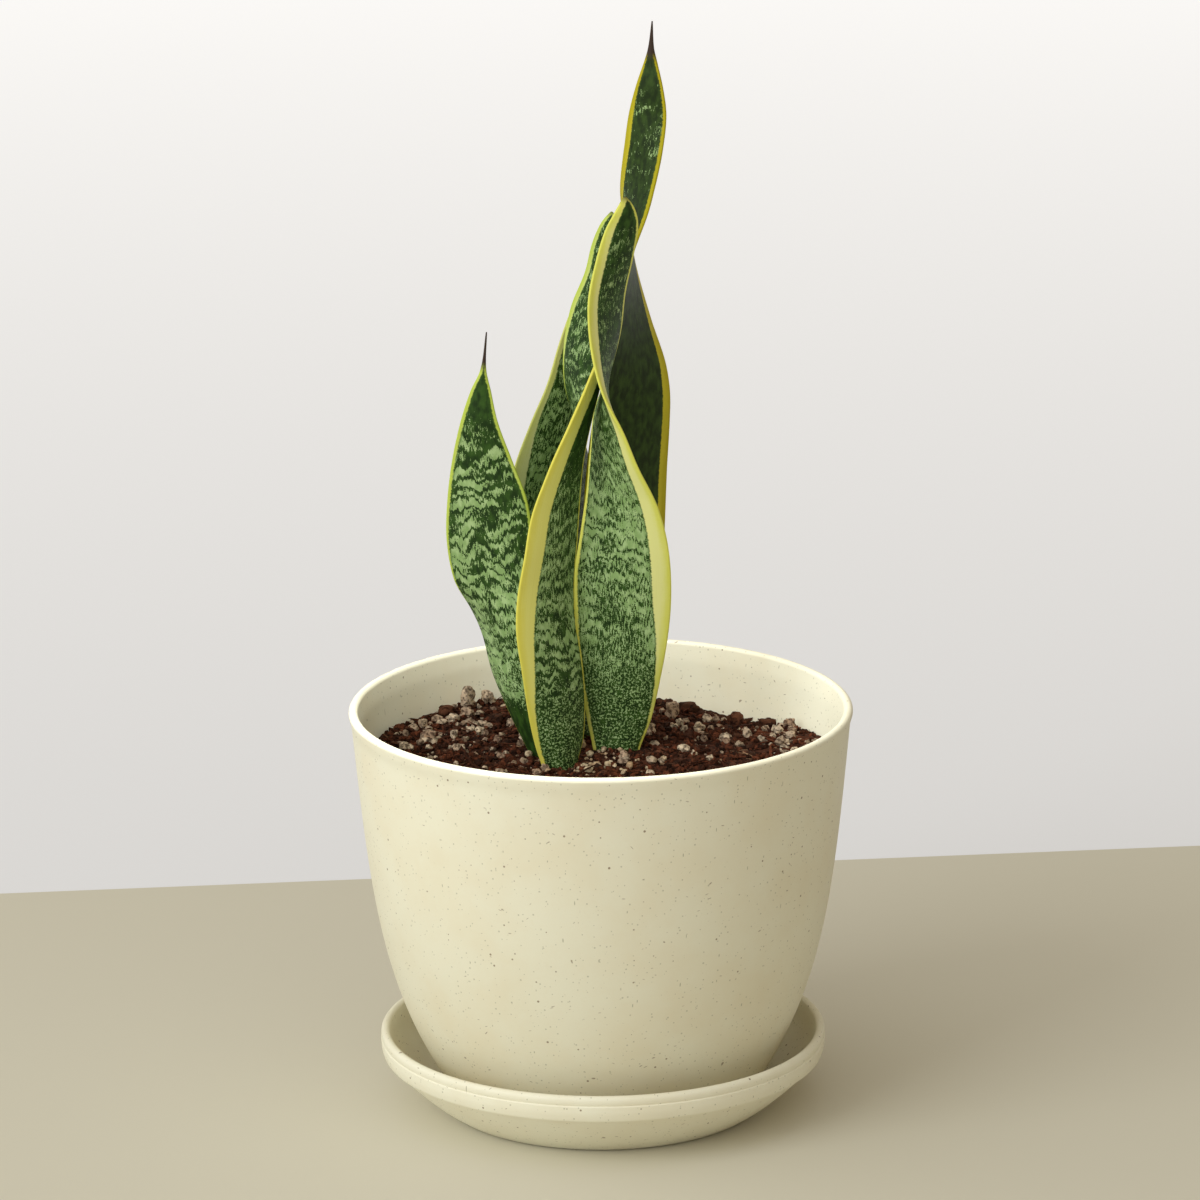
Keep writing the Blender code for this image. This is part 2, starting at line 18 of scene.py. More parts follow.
import bpy
import numpy as np
from mathutils import Matrix, Vector, noise
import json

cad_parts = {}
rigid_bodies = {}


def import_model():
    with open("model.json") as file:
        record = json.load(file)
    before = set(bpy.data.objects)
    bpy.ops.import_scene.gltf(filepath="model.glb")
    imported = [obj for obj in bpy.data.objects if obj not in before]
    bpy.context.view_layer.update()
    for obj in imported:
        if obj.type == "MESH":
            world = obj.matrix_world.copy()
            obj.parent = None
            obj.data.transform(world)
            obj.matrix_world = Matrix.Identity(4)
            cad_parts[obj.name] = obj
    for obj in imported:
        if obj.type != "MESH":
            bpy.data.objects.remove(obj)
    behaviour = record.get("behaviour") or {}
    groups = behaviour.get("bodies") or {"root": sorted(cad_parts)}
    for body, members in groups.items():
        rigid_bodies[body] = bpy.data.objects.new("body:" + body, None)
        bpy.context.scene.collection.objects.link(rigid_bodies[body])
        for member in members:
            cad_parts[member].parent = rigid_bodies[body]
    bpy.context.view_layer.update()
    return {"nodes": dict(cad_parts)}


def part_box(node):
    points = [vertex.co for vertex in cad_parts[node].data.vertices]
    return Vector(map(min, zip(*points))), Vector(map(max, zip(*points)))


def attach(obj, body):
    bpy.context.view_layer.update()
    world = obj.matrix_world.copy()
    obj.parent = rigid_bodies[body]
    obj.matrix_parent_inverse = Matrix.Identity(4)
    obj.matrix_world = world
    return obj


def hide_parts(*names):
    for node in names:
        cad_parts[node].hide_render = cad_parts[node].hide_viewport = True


log = logging.getLogger("snake_plant")

MM = 0.001
Colour = tuple[float, float, float]


class Slot(Enum):
    """The record's material slots."""

    POT = "pot"
    SAUCER = "saucer"
    SOIL = "soil"
    LEAF = "leaf"
    RHIZOME = "rhizome"
    PUMICE = "pumice"
    BARK = "bark"
    PEBBLE = "pebble"


# ---------------------------------------------------------------- modelling helpers


def deselect_all() -> None:
    """Leave nothing selected, so that an operator acts on the next piece alone."""
    for other in bpy.context.view_layer.objects:
        other.select_set(False)


def take_up(piece: bpy.types.Object) -> None:
    """Make one piece the only selected and the active one.

    Args:
        piece: The object to work on.
    """
    deselect_all()
    piece.select_set(True)
    bpy.context.view_layer.objects.active = piece


def named(name: str) -> bpy.types.Object:
    """Name the object that an operator has just added.

    Args:
        name: Name for the object and its mesh.

    Returns:
        The active object.
    """
    made = bpy.context.active_object
    made.name = name
    made.data.name = name
    return made


def apply_modifier(piece: bpy.types.Object, kind: str, **settings: object) -> None:
    """Add a modifier to a piece and apply it.

    Args:
        piece: The object that the modifier shapes.
        kind: Modifier type, such as SOLIDIFY.
        **settings: Values for the modifier's properties.
    """
    take_up(piece)
    modifier = piece.modifiers.new(kind.title(), kind)
    for key, value in settings.items():
        setattr(modifier, key, value)
    bpy.ops.object.modifier_apply(modifier=modifier.name)


def placed(name: str, data: bpy.types.ID) -> bpy.types.Object:
    """Put a mesh, a light or a camera into the scene.

    Args:
        name: Name for the object.
        data: What it shows.

    Returns:
        The object, at the origin.
    """
    piece = bpy.data.objects.new(name, data)
    bpy.context.scene.collection.objects.link(piece)
    return piece


def faces_out() -> None:
    """Turn all faces of the piece in edit mode outwards, and leave edit mode."""
    bpy.ops.mesh.select_all(action="SELECT")
    bpy.ops.mesh.normals_make_consistent(inside=False)
    bpy.ops.object.mode_set(mode="OBJECT")


def smooth(piece: bpy.types.Object, angle: float = 40.0) -> None:
    """Shade a piece smooth, with creases kept sharp.

    Args:
        piece: The object to shade.
        angle: Edges sharper than this many degrees stay sharp.
    """
    take_up(piece)
    bpy.ops.object.shade_smooth_by_angle(angle=math.radians(angle))


def vertex_places(piece: bpy.types.Object) -> np.ndarray:
    """Return a piece's vertex places as an (n, 3) array."""
    places = np.empty(len(piece.data.vertices) * 3, np.float32)
    piece.data.vertices.foreach_get("co", places)
    return places.reshape(-1, 3).astype(float)


def move_vertices(piece: bpy.types.Object, places: np.ndarray) -> None:
    """Put a piece's vertices at new places."""
    piece.data.vertices.foreach_set("co", places.astype(np.float32).ravel())
    piece.data.update()


def set_vectors(piece: bpy.types.Object, name: str, values: np.ndarray) -> None:
    """Store three numbers per vertex, for a material to read.

    Args:
        piece: The object to mark.
        name: The attribute's name.
        values: One row of three numbers for each vertex.
    """
    layer = piece.data.attributes.new(name, "FLOAT_VECTOR", "POINT")
    layer.data.foreach_set("vector", values.astype(np.float32).ravel())


def turned(name: str, outline: Sequence[tuple[float, float]], segments: int) -> bpy.types.Object:
    """Spin an outline, which starts and ends on the axis, into a closed turned piece.

    Args:
        name: Name for the piece.
        outline: (radius, height) points in metres.
        segments: Number of steps round the axis.

    Returns:
        The turned piece, with its faces out.
    """
    deselect_all()
    mesh = bpy.data.meshes.new(name)
    links = [(i, i + 1) for i in range(len(outline) - 1)]
    mesh.from_pydata([(r, 0.0, z) for r, z in outline], links, [])
    piece = placed(name, mesh)
    take_up(piece)
    bpy.ops.object.mode_set(mode="EDIT")
    bpy.ops.mesh.select_all(action="SELECT")
    bpy.ops.mesh.spin(steps=segments, angle=2 * math.pi, center=(0, 0, 0), axis=(0, 0, 1))
    bpy.ops.mesh.select_all(action="SELECT")
    bpy.ops.mesh.remove_doubles(threshold=0.01 * MM)
    faces_out()
    return piece


def arc(middle: tuple[float, float], radius: float, start: float, end: float, steps: int) -> list:
    """Return points along a circular arc.

    Args:
        middle: The arc's centre, as (radius from the axis, height).
        radius: The arc's own radius.
        start: Angle of the first point, in degrees from outward.
        end: Angle of the last point.
        steps: Number of stretches between points.

    Returns:
        The (radius, height) points.
    """
    turns = np.radians(np.linspace(start, end, steps + 1))
    return [(middle[0] + radius * math.cos(a), middle[1] + radius * math.sin(a)) for a in turns]


def eased(points: Sequence[tuple[float, float]], steps: int = 5) -> list:
    """Return points on a smooth curve through an outline's own points.

    Args:
        points: The (radius, height) points to pass through.
        steps: Number of stretches between each two of them.

    Returns:
        The finer list of points, the last one included.
    """
    p = np.array([points[0], *points, points[-1]], float)
    fine = []
    for i in range(1, len(p) - 2):
        for t in np.arange(steps) / steps:
            fine.append(
                0.5
                * (
                    2 * p[i]
                    + (p[i + 1] - p[i - 1]) * t
                    + (2 * p[i - 1] - 5 * p[i] + 4 * p[i + 1] - p[i + 2]) * t**2
                    + (3 * p[i] - p[i - 1] - 3 * p[i + 1] + p[i + 2]) * t**3
                )
            )
    return [tuple(row) for row in fine] + [tuple(points[-1])]


def lump_noise(place: Vector, size: float, octaves: int = 3) -> float:
    """Return soft noise from about -1 to 1 with features of a given size.

    Args:
        place: Where to read it, in metres.
        size: Size of its broadest lumps, in metres.
        octaves: Number of finer layers added.

    Returns:
        The noise value.
    """
    return noise.fractal(place / size, 1.0, 2.0, octaves, noise_basis="PERLIN_ORIGINAL")


def hand_over(piece: bpy.types.Object, material: bpy.types.Material, slot: Slot, *nodes: str) -> None:
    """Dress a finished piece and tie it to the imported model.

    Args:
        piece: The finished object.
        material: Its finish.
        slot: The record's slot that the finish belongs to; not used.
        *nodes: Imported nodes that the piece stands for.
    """
    piece.data.materials.clear()
    piece.data.materials.append(material)
    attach(piece, "root")
    if nodes:
        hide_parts(*nodes)
    log.info("%s: %d faces", piece.name, len(piece.data.polygons))


# ---------------------------------------------------------------- material helpers


@dataclass(frozen=True)
class Value:
    """A node's output, which plain arithmetic carries on into Math nodes."""

    nodes: Nodes
    socket: bpy.types.NodeSocket

    def __add__(self, other: object) -> Value:
        """Return the sum with another value."""
        return self.nodes.math("ADD", self, other)

    def __sub__(self, other: object) -> Value:
        """Return the difference from another value."""
        return self.nodes.math("SUBTRACT", self, other)

    def __rsub__(self, other: float) -> Value:
        """Return a number less this value."""
        return self.nodes.math("SUBTRACT", other, self)

    def __mul__(self, other: object) -> Value:
        """Return the product with another value."""
        return self.nodes.math("MULTIPLY", self, other)


class Nodes:
    """A node tree under construction, with short calls for its nodes."""

    def __init__(self, tree: bpy.types.NodeTree) -> None:
        """Carry on from the nodes that the tree starts with."""
        self.tree = tree

    def feed(self, socket: bpy.types.NodeSocket, value: object) -> None:
        """Link a socket to a node's output, or set its value.

        Args:
            socket: The input to feed.
            value: An output, a number, a vector or a colour.
        """
        if isinstance(value, Value):
            self.tree.links.new(value.socket, socket)
        elif isinstance(value, tuple) and len(value) == 3 and socket.type == "RGBA":
            socket.default_value = (*value, 1.0)
        else:
            socket.default_value = value

    def add(self, kind: str, feeds: dict, *outputs: str | int, **settings: str) -> list[Value]:
        """Add a node.

        Args:
            kind: Its type, without the ShaderNode that the type's full name starts with.
            feeds: What to feed its inputs, by their names or numbers.
            *outputs: Names or numbers of the outputs to return.
            **settings: Values for its properties.

        Returns:
            The outputs asked for.
        """
        node = self.tree.nodes.new(f"ShaderNode{kind}")
        for key, setting in settings.items():
            setattr(node, key, setting)
        for key, value in feeds.items():
            self.feed(node.inputs[key], value)
        return [Value(self, node.outputs[key]) for key in outputs]

    def math(self, operation: str, first: object, second: object = 0.0) -> Value:
        """Return the result of a Math node on two values."""
        return self.add("Math", {0: first, 1: second}, 0, operation=operation)[0]

    def place(self) -> Value:
        """Return the place on the piece in its own coordinates, in metres."""
        return self.add("TexCoord", {}, "Object")[0]

    def split(self, vector: Value) -> list[Value]:
        """Return a vector's three parts."""
        return self.add("SeparateXYZ", {0: vector}, 0, 1, 2)

    def attribute(self, name: str) -> list[Value]:
        """Return the three numbers that a piece stores under a name."""
        return self.split(self.add("Attribute", {}, "Vector", attribute_name=name)[0])

    def vector(self, *parts: object) -> Value:
        """Return a vector made of three values."""
        return self.add("CombineXYZ", dict(enumerate(parts)), 0)[0]

    def stretched(self, vector: Value, scale: Colour) -> Value:
        """Return a vector multiplied along each axis."""
        return self.add("VectorMath", {0: vector, 1: scale}, 0, operation="MULTIPLY")[0]

    def noise(self, where: Value, scale: float, detail: float = 2.0, rough: float = 0.5) -> Value:
        """Return soft noise from 0 to 1.

        Args:
            where: Coordinates to read it at.
            scale: Features per unit of the coordinates.
            detail: Number of finer layers.
            rough: Strength of the finer layers.

        Returns:
            The noise value.
        """
        feeds = {"Vector": where, "Scale": scale, "Detail": detail, "Roughness": rough}
        return self.add("TexNoise", feeds, "Fac")[0]

    def cells(self, where: Value, scale: float) -> list[Value]:
        """Return the distance to the nearest scattered point, and that point's own random numbers."""
        return self.add("TexVoronoi", {"Vector": where, "Scale": scale}, "Distance", "Color")

    def step(self, value: Value, low: object, high: object) -> Value:
        """Return 0 below low and 1 above high, rising smoothly between them."""
        feeds = {"Value": value, "From Min": low, "From Max": high}
        return self.add("MapRange", feeds, "Result", interpolation_type="SMOOTHSTEP")[0]

    def between(self, value: Value, low: float, high: float) -> Value:
        """Stretch a value that runs from 0 to 1 so that it runs from low to high."""
        return value * (high - low) + low

    def mix(self, share: Value, first: object, second: object) -> Value:
        """Return the colour this share of the way from the first to the second."""
        return self.add("Mix", {0: share, 6: first, 7: second}, 2, data_type="RGBA")[0]

    def bump(self, height: Value, depth: float) -> Value:
        """Return a normal bent by a relief from 0 to 1 that is this deep, in metres."""
        return self.add("Bump", {"Distance": depth, "Height": height}, "Normal")[0]


class Graph(Nodes):
    """A material under construction."""

    def __init__(self, name: str) -> None:
        """Start a material around one Principled shader."""
        self.material = bpy.data.materials.new(name)
        self.material.use_nodes = True
        super().__init__(self.material.node_tree)

    def skin(self, **feeds: object) -> None:
        """Feed the shader's inputs, which are named here with _ for each space."""
        inputs = self.tree.nodes["Principled BSDF"].inputs
        for name, value in feeds.items():
            self.feed(inputs[name.replace("_", " ")], value)


class Finish:
    """A finish that makes its own material."""

    def material(self, name: str) -> bpy.types.Material:
        """Make the material.

        Args:
            name: Name for it.

        Returns:
            The material.
        """
        graph = Graph(name)
        self.paint(graph)
        return graph.material

    def paint(self, graph: Graph) -> None:
        """Wire up the finish's own nodes in a new material."""
        raise NotImplementedError


# ---------------------------------------------------------------- finishes


MATT_SPECULAR = 0.15  # for grains and peat


@dataclass(frozen=True)
class PlantFibreFinish(Finish):
    """Cream plant-fibre plastic, matt, with dark husk flecks and a tan towards the floor that is painted
    warm shade round the foot.
    """

    cream: Colour = (0.805, 0.785, 0.625)
    shade: Colour = (0.775, 0.725, 0.545)
    painted_foot_shade: float = 0.0  # how strongly the tan towards the floor shows, from 0 to 1: painted warm shade round the foot
    # the colour of the painted warm shade round the foot
    tan: Colour = (0.80, 0.655, 0.43)
    husk: Colour = (0.20, 0.13, 0.07)
    moss: Colour = (0.30, 0.29, 0.19)
    tan_low: float = 4 * MM
    tan_high: float = 32 * MM
    drift: float = 0.02  # how far the longer specks lean about, in metres
    relief: float = 0.03 * MM

    def speck(self, graph: Graph, where: Value, per_metre: float, share: float, size: float) -> Value:
        """Return the mask of one kind of speck.

        Args:
            graph: The material under construction.
            where: Coordinates, stretched for specks that are longer than wide.
            per_metre: Cells per metre, each with room for one speck.
            share: Share of the cells that hold one.
            size: A speck's largest radius, as a share of its cell.

        Returns:
            1 on a speck and 0 elsewhere.
        """
        distance, dice = graph.cells(where, per_metre)
        red, green, _ = graph.split(dice)
        radius = graph.between(green, 0.3 * size, size)
        return graph.step(red, 1 - share - 0.01, 1 - share) * graph.step(distance, radius, radius * 0.55)

    def paint(self, graph: Graph) -> None:
        """Wire up the cream ground, its tan towards the floor as painted warm shade, the specks and a fine
        relief.
        """
        where = graph.place()
        x, y, z = graph.split(where)
        cloud = graph.noise(where, 38.0, 4.0, 0.6)
        grain = graph.noise(where, 900.0, 3.0, 0.6)
        colour = graph.mix(graph.step(cloud, 0.30, 0.8), self.cream, self.shade)
        colour = graph.mix(graph.step(grain, 0.5, 0.75) * 0.25, colour, self.shade)
        # painted warm shade: towards the floor the cream turns tan, where the pot stands in its saucer
        colour = graph.mix(graph.step(z, self.tan_high, self.tan_low) * self.painted_foot_shade, colour, self.tan)
        leaning = graph.vector(x, y, z + (graph.noise(where, 60.0) - 0.5) * self.drift)
        husks = self.speck(graph, where, 300.0, 0.5, 0.15)
        fibres = self.speck(graph, graph.stretched(leaning, (0.45, 0.45, 1.5)), 330.0, 0.75, 0.12)
        threads = self.speck(graph, graph.stretched(leaning, (1.5, 1.5, 0.4)), 330.0, 0.75, 0.12)
        dust = self.speck(graph, where, 600.0, 0.9, 0.24)
        for mask, tone, strength in (
            (dust, self.moss, 0.5),
            (fibres, self.husk, 0.7),
            (threads, self.moss, 0.7),
            (husks, self.husk, 0.85),
        ):
            colour = graph.mix(mask * strength, colour, tone)
        rough = graph.between(graph.noise(where, 120.0), 0.48, 0.62)
        normal = graph.bump(grain * 0.7 + husks * 0.5, self.relief)
        graph.skin(Base_Color=colour, Roughness=rough, Normal=normal)


@dataclass(frozen=True)
class LeafFinish(Finish):
    """A snake plant leaf: dark green, pale cross-bands and flecks, yellow margins, brown spine."""

    seed: float
    margin: Colour
    margin_pale: Colour
    dark: Colour
    moss: Colour
    pale: Colour = (0.265, 0.415, 0.150)
    silver: Colour = (0.410, 0.570, 0.260)
    spine: Colour = (0.045, 0.028, 0.020)
    band_pitch: float = 4.1  # mm from one cross-band to the next
    dots_low: float = 126.0  # below this height, in mm, the flecks are round dots
    dots_high: float = 158.0  # and above this one they are upright streaks
    ragged: float = 1.1  # how far the margins' inner edges wander, in mm
    dark_line: float = 0.7  # width of the dark line beside a margin, in mm
    blur: float = 0.45  # how gradually a margin starts, in mm
    specular: float = 0.16
    relief: float = 0.10 * MM

    def pale_share(self, graph: Graph, across: Value, along: Value, marks: list[Value]) -> Value:
        """Return where the pale pattern shows.

        Args:
            graph: The material under construction.
            across: Distance from the leaf's midline, in mm.
            along: Height on the leaf, in mm.
            marks: How pale, how banded and how flecked the leaf is there.

        Returns:
            1 on pale skin and 0 on dark.
        """
        paleness, banding, flecking = marks

        def layer(per_x: float, per_y: float, shift: float, detail: float = 2.0, y: Value = along) -> Value:
            """Return noise about 0, with this many features per mm across and along the leaf."""
            where = graph.vector(across * per_x, y * per_y, self.seed + shift)
            return graph.noise(where, 1.0, detail, 0.55) - 0.5

        level = along + (layer(1.3, 0.16, 0.0) * 5.0 + layer(0.16, 0.05, 3.0) * 16.0)
        wave = graph.math("SINE", level * (2 * math.pi / self.band_pitch))
        blotch = layer(0.13, 0.30, 6.0, 1.0, level)
        bands = blotch * 2.6 - graph.step(wave, 0.35, 0.95) * graph.step(blotch, -0.20, 0.1) * 0.75
        patch = layer(0.08, 0.035, 15.0, 1.0) * 1.1
        low = graph.step(along, self.dots_high, self.dots_low)
        flecks = layer(2.1, 0.40, 9.0) * graph.between(low, 3.4, 0.6)
        dots = layer(1.5, 1.3, 18.0, 1.0) * (low * 3.6)
        specks = layer(3.4, 2.9, 12.0, 1.0) * 2.2
        value = paleness + banding * bands + banding * patch + flecking * (flecks + dots + specks)
        return graph.step(value, -0.05, 0.09)

    def paint(self, graph: Graph) -> None:
        """Wire up the pattern, the margins, the spine and the ribbed relief."""
        across, along, half_width = graph.attribute("place_on_leaf")
        left, right, spine = graph.attribute("margins")
        where = graph.vector(across, along, self.seed)
        pale = self.pale_share(graph, across, along, graph.attribute("markings"))
        tone = graph.noise(graph.stretched(where, (0.5, 0.25, 1.0)), 1.0, 3.0)
        dark = graph.mix(graph.step(tone, 0.35, 0.7), self.dark, self.moss)
        light = graph.mix(graph.step(tone, 0.4, 0.65), self.pale, self.silver)
        colour = graph.mix(pale, dark, light)

        wobble = graph.noise(graph.stretched(where, (0.4, 1.1, 1.0)), 1.0, 3.0, 0.7)
        ragged = (wobble - 0.5) * self.ragged
        sides = ((half_width + across + ragged, left), (half_width - across + ragged, right))
        line = [graph.step(inward, width + self.dark_line, width) for inward, width in sides]
        edge = [graph.step(inward, width, width - self.blur) for inward, width in sides]
        colour = graph.mix(graph.math("MAXIMUM", *line) * 0.55, colour, self.moss)
        grain = (graph.noise(graph.stretched(where, (0.45, 0.06, 1.0)), 1.0) - 0.5) * 3.0
        depth = graph.math("MINIMUM", sides[0][0], sides[1][0])
        cream = graph.mix(graph.step(depth + grain, 0.2, 3.4), self.margin, self.margin_pale)
        colour = graph.mix(graph.math("MAXIMUM", *edge), colour, cream)
        colour = graph.mix(spine, colour, self.spine)

        ribs = graph.noise(graph.stretched(where, (3.2, 0.05, 1.0)), 1.0)
        pores = graph.noise(where, 2.4)
        rough = graph.between(graph.noise(where, 0.8, 3.0), 0.44, 0.60)
        normal = graph.bump(ribs * 0.7 + pores * 0.3, self.relief)
        graph.skin(Base_Color=colour, Roughness=rough, Normal=normal, Specular_IOR_Level=self.specular)


@dataclass(frozen=True)
class GrainFinish(Finish):
    """A matt mineral or woody grain, with its own tone for each piece and dark pores."""

    light: Colour
    deep: Colour
    pore: Colour
    pore_scale: float  # pores per metre
    relief: float  # depth of the pores, in metres
    rough: float = 0.9

    def paint(self, graph: Graph) -> None:
        """Wire up the piece's tone, its mottling and its pores."""
        where = graph.place()
        tone, shade, _ = graph.attribute("tone")
        blend = tone * 0.7 + graph.noise(where, 420.0, 3.0, 0.6) * 0.5
        colour = graph.mix(graph.step(blend, 0.1, 1.0), self.deep, self.light)
        pits = graph.step(graph.noise(where, self.pore_scale, 3.0, 0.65), 0.54, 0.38)
        colour = graph.mix(pits * 0.75, colour, self.pore)
        colour = graph.mix(shade * 0.5, colour, self.pore)
        normal = graph.bump(1.0 - pits, self.relief)
        graph.skin(Base_Color=colour, Roughness=self.rough, Normal=normal, Specular_IOR_Level=MATT_SPECULAR)


@dataclass(frozen=True)
class PeatFinish(Finish):
    """Dark potting mix: red-brown peat whose darkest tone lies in the hollows of its relief, partly its own
    dark peat and partly painted shade, with paler dry crumbs.
    """

    # partly the peat's own dark tone, partly painted shade in its hollows
    dark_peat_and_hollow_shade: Colour = (0.022, 0.008, 0.005)
    brown: Colour = (0.105, 0.038, 0.021)
    dry: Colour = (0.26, 0.145, 0.10)
    rough: float = 0.93
    relief: float = 0.5 * MM

    def paint(self, graph: Graph) -> None:
        """Wire up the broad and fine mottling and their relief."""
        where = graph.place()
        broad = graph.noise(where, 170.0, 4.0, 0.6)
        fine = graph.noise(where, 1300.0, 3.0, 0.7)
        # partly painted shade: the darkest peat follows the low parts of the bump relief
        colour = graph.mix(graph.step(broad, 0.35, 0.65), self.dark_peat_and_hollow_shade, self.brown)
        colour = graph.mix(graph.step(fine, 0.56, 0.74), colour, self.dry)
        normal = graph.bump(fine + broad * 0.5, self.relief)
        graph.skin(Base_Color=colour, Roughness=self.rough, Normal=normal, Specular_IOR_Level=MATT_SPECULAR)


@dataclass(frozen=True)
class StudioFinish(Finish):
    """A plain matt sheet under the object."""

    colour: Colour
    glow: float = 0.0  # light of its own beside the object
    far_glow: float = 0.0  # and two metres behind it
    glow_colour: Colour = (0.99, 0.995, 1.0)
    rough: float = 0.9
    specular: float = 0.1

    def paint(self, graph: Graph) -> None:
        """Wire up the matt colour, and a little light of its own that grows to the back."""
        if self.far_glow:
            feeds = {"Value": graph.split(graph.place())[1], "From Min": 0.2, "From Max": 2.0}
            feeds |= {"To Min": self.glow, "To Max": self.far_glow}
            strength = graph.add("MapRange", feeds, "Result")[0]
            graph.skin(Emission_Color=self.glow_colour, Emission_Strength=strength)
        graph.skin(Base_Color=self.colour, Roughness=self.rough, Specular_IOR_Level=self.specular)


RHIZOME_BARK = GrainFinish((0.45, 0.27, 0.13), (0.28, 0.15, 0.07), (0.10, 0.05, 0.03), 600.0, 0.2 * MM, 0.8)
PUMICE = GrainFinish((0.84, 0.68, 0.49), (0.46, 0.30, 0.20), (0.05, 0.022, 0.015), 900.0, 0.3 * MM)
BARK = GrainFinish((0.19, 0.075, 0.040), (0.055, 0.022, 0.012), (0.018, 0.009, 0.007), 520.0, 0.3 * MM)
PEBBLE = GrainFinish((0.78, 0.66, 0.45), (0.55, 0.36, 0.20), (0.25, 0.14, 0.08), 900.0, 0.1 * MM, 0.75)
FIBRE = GrainFinish((0.42, 0.25, 0.14), (0.13, 0.06, 0.032), (0.03, 0.012, 0.008), 300.0, 0.1 * MM)
CRUMB = GrainFinish((0.190, 0.056, 0.025), (0.024, 0.008, 0.004), (0.010, 0.004, 0.002), 900.0, 0.2 * MM)


# ---------------------------------------------------------------- pot and saucer


@dataclass
class Pot:
    """The cup: a wall that bulges and draws in to a ringed foot with drain holes."""

    rim_height: float = 131.5 * MM
    rim_radius: float = 80.0 * MM
    wall: float = 3.0 * MM
    body_radius: float = 79.6 * MM
    taper: float = 11.9 * MM
    curl: float = 20.5 * MM
    curl_power: float = 4.0
    lip_drop: float = 4.0 * MM
    base: float = 4.3 * MM
    floor: float = 4.0 * MM
    foot_ring: float = 6.0 * MM
    foot_recess: float = 1.2 * MM
    bend: float = 3.0 * MM  # radius where the wall meets the floor inside
    drain_radius: float = 2.6 * MM
    drain_circle: float = 24.0 * MM
    drains: int = 6
    segments: int = 192

    def radius(self, height: float) -> float:
        """Return the wall's outside radius at a height above the floor."""
        down = (self.rim_height - height) / (self.rim_height - self.base)
        swell = max(0.0, 1 - (self.rim_height - height) / self.lip_drop)
        lip = (self.rim_radius - self.body_radius) * swell
        return self.body_radius + lip - self.taper * down - self.curl * down**self.curl_power

    def cavity(self, height: float) -> float:
        """Return the wall's inside radius at a height above the floor."""
        return self.radius(height) - self.wall

    def outline(self) -> list:
        """Return the pot's outline, from under its middle round to its floor inside."""
        foot = self.radius(self.base)
        ring = foot - self.foot_ring
        half = self.wall / 2
        inner = self.base + self.floor
        outside = np.linspace(self.base + 0.8 * MM, self.rim_height - half, 44)[:-1]
        inside = np.linspace(self.rim_height - half, inner + self.bend, 40)[1:]
        bend = self.cavity(inside[-1]) - self.bend
        return [
            (0.0, self.base + self.foot_recess),
            (ring - self.foot_recess, self.base + self.foot_recess),
            (ring, self.base),
            (foot - 1.0 * MM, self.base),
            (foot - 0.3 * MM, self.base + 0.25 * MM),
            *((self.radius(z), z) for z in outside),
            *arc((self.rim_radius - half, self.rim_height - half), half, 0, 180, 14),
            *((self.cavity(z), z) for z in inside),
            *arc((bend, inner + self.bend), self.bend, 0, -90, 6)[1:],
            (0.0, inner),
        ]

    def build(self) -> bpy.types.Object:
        """Turn the pot, drill its drain holes, dress it and return it."""
        pot = turned("plant_fibre_pot", self.outline(), self.segments)
        turns = [2 * math.pi * (i + 0.5) / self.drains for i in range(self.drains)]
        spots = [(0.0, 0.0)]
        spots += [(self.drain_circle * math.cos(a), self.drain_circle * math.sin(a)) for a in turns]
        for x, y in spots:
            deselect_all()
            bpy.ops.mesh.primitive_cylinder_add(
                vertices=32,
                radius=self.drain_radius,
                depth=4 * self.floor,
                location=(x, y, self.base),
            )
            drill = named("drain_drill")
            apply_modifier(pot, "BOOLEAN", operation="DIFFERENCE", object=drill)
            bpy.data.objects.remove(drill)
        smooth(pot)
        # the pot's tan foot is painted warm shade where it stands in the saucer
        hand_over(pot, PlantFibreFinish(painted_foot_shade=0.55).material("plant fibre, pot"), Slot.POT, "pot")
        return pot


@dataclass
class Saucer:
    """The dish: a curved bowl with a stepped band under its rounded lip."""

    height: float = 25.0 * MM
    lip: float = 1.45 * MM
    lip_radius: float = 71.2 * MM
    foot_radius: float = 51.0 * MM
    recess: float = 0.8 * MM
    recess_radius: float = 44.0 * MM
    floor: float = 4.0 * MM
    groove: float = 0.35 * MM
    segments: int = 192

    def outline(self) -> list:
        """Return the saucer's outline, from under its middle round to its floor."""
        bowl = [(51.0, 0.4), (56.2, 4.0), (62.0, 9.0), (66.6, 13.5), (69.1, 16.2)]
        band = [(70.2, 16.5), (70.6, 17.2), (71.2, 19.4), (71.3, 21.6)]
        line = [(71.3 - self.groove / MM, 22.0), (71.2, 22.5)]
        inside = [(67.8, 22.4), (66.4, 18.0), (63.6, 13.6), (59.0, 9.2)]
        inside += [(53.0, 5.6), (49.5, 4.3), (47.0, 4.0)]
        crest = (self.lip_radius - self.lip, self.height - self.lip)
        return [
            (0.0, self.recess),
            (self.recess_radius - self.recess, self.recess),
            (self.recess_radius, 0.0),
            (self.foot_radius - 1.0 * MM, 0.0),
            *((r * MM, z * MM) for r, z in eased(bowl)),
            *((r * MM, z * MM) for r, z in eased(band, 3)),
            *((r * MM, z * MM) for r, z in line),
            *arc(crest, self.lip, 0, 170, 12),
            *((r * MM, z * MM) for r, z in eased(inside)),
            (0.0, self.floor),
        ]

    def build(self) -> None:
        """Turn the saucer and dress it."""
        saucer = turned("plant_fibre_saucer", self.outline(), self.segments)
        smooth(saucer, 32.0)
        # a paler cream than the pot's: partly the saucer's own paler tone, partly painted light for its
        # brightly lit band
        finish = PlantFibreFinish((0.86, 0.84, 0.68), (0.82, 0.775, 0.60))
        hand_over(saucer, finish.material("plant fibre, saucer"), Slot.SAUCER, "saucer")


# ---------------------------------------------------------------- leaves


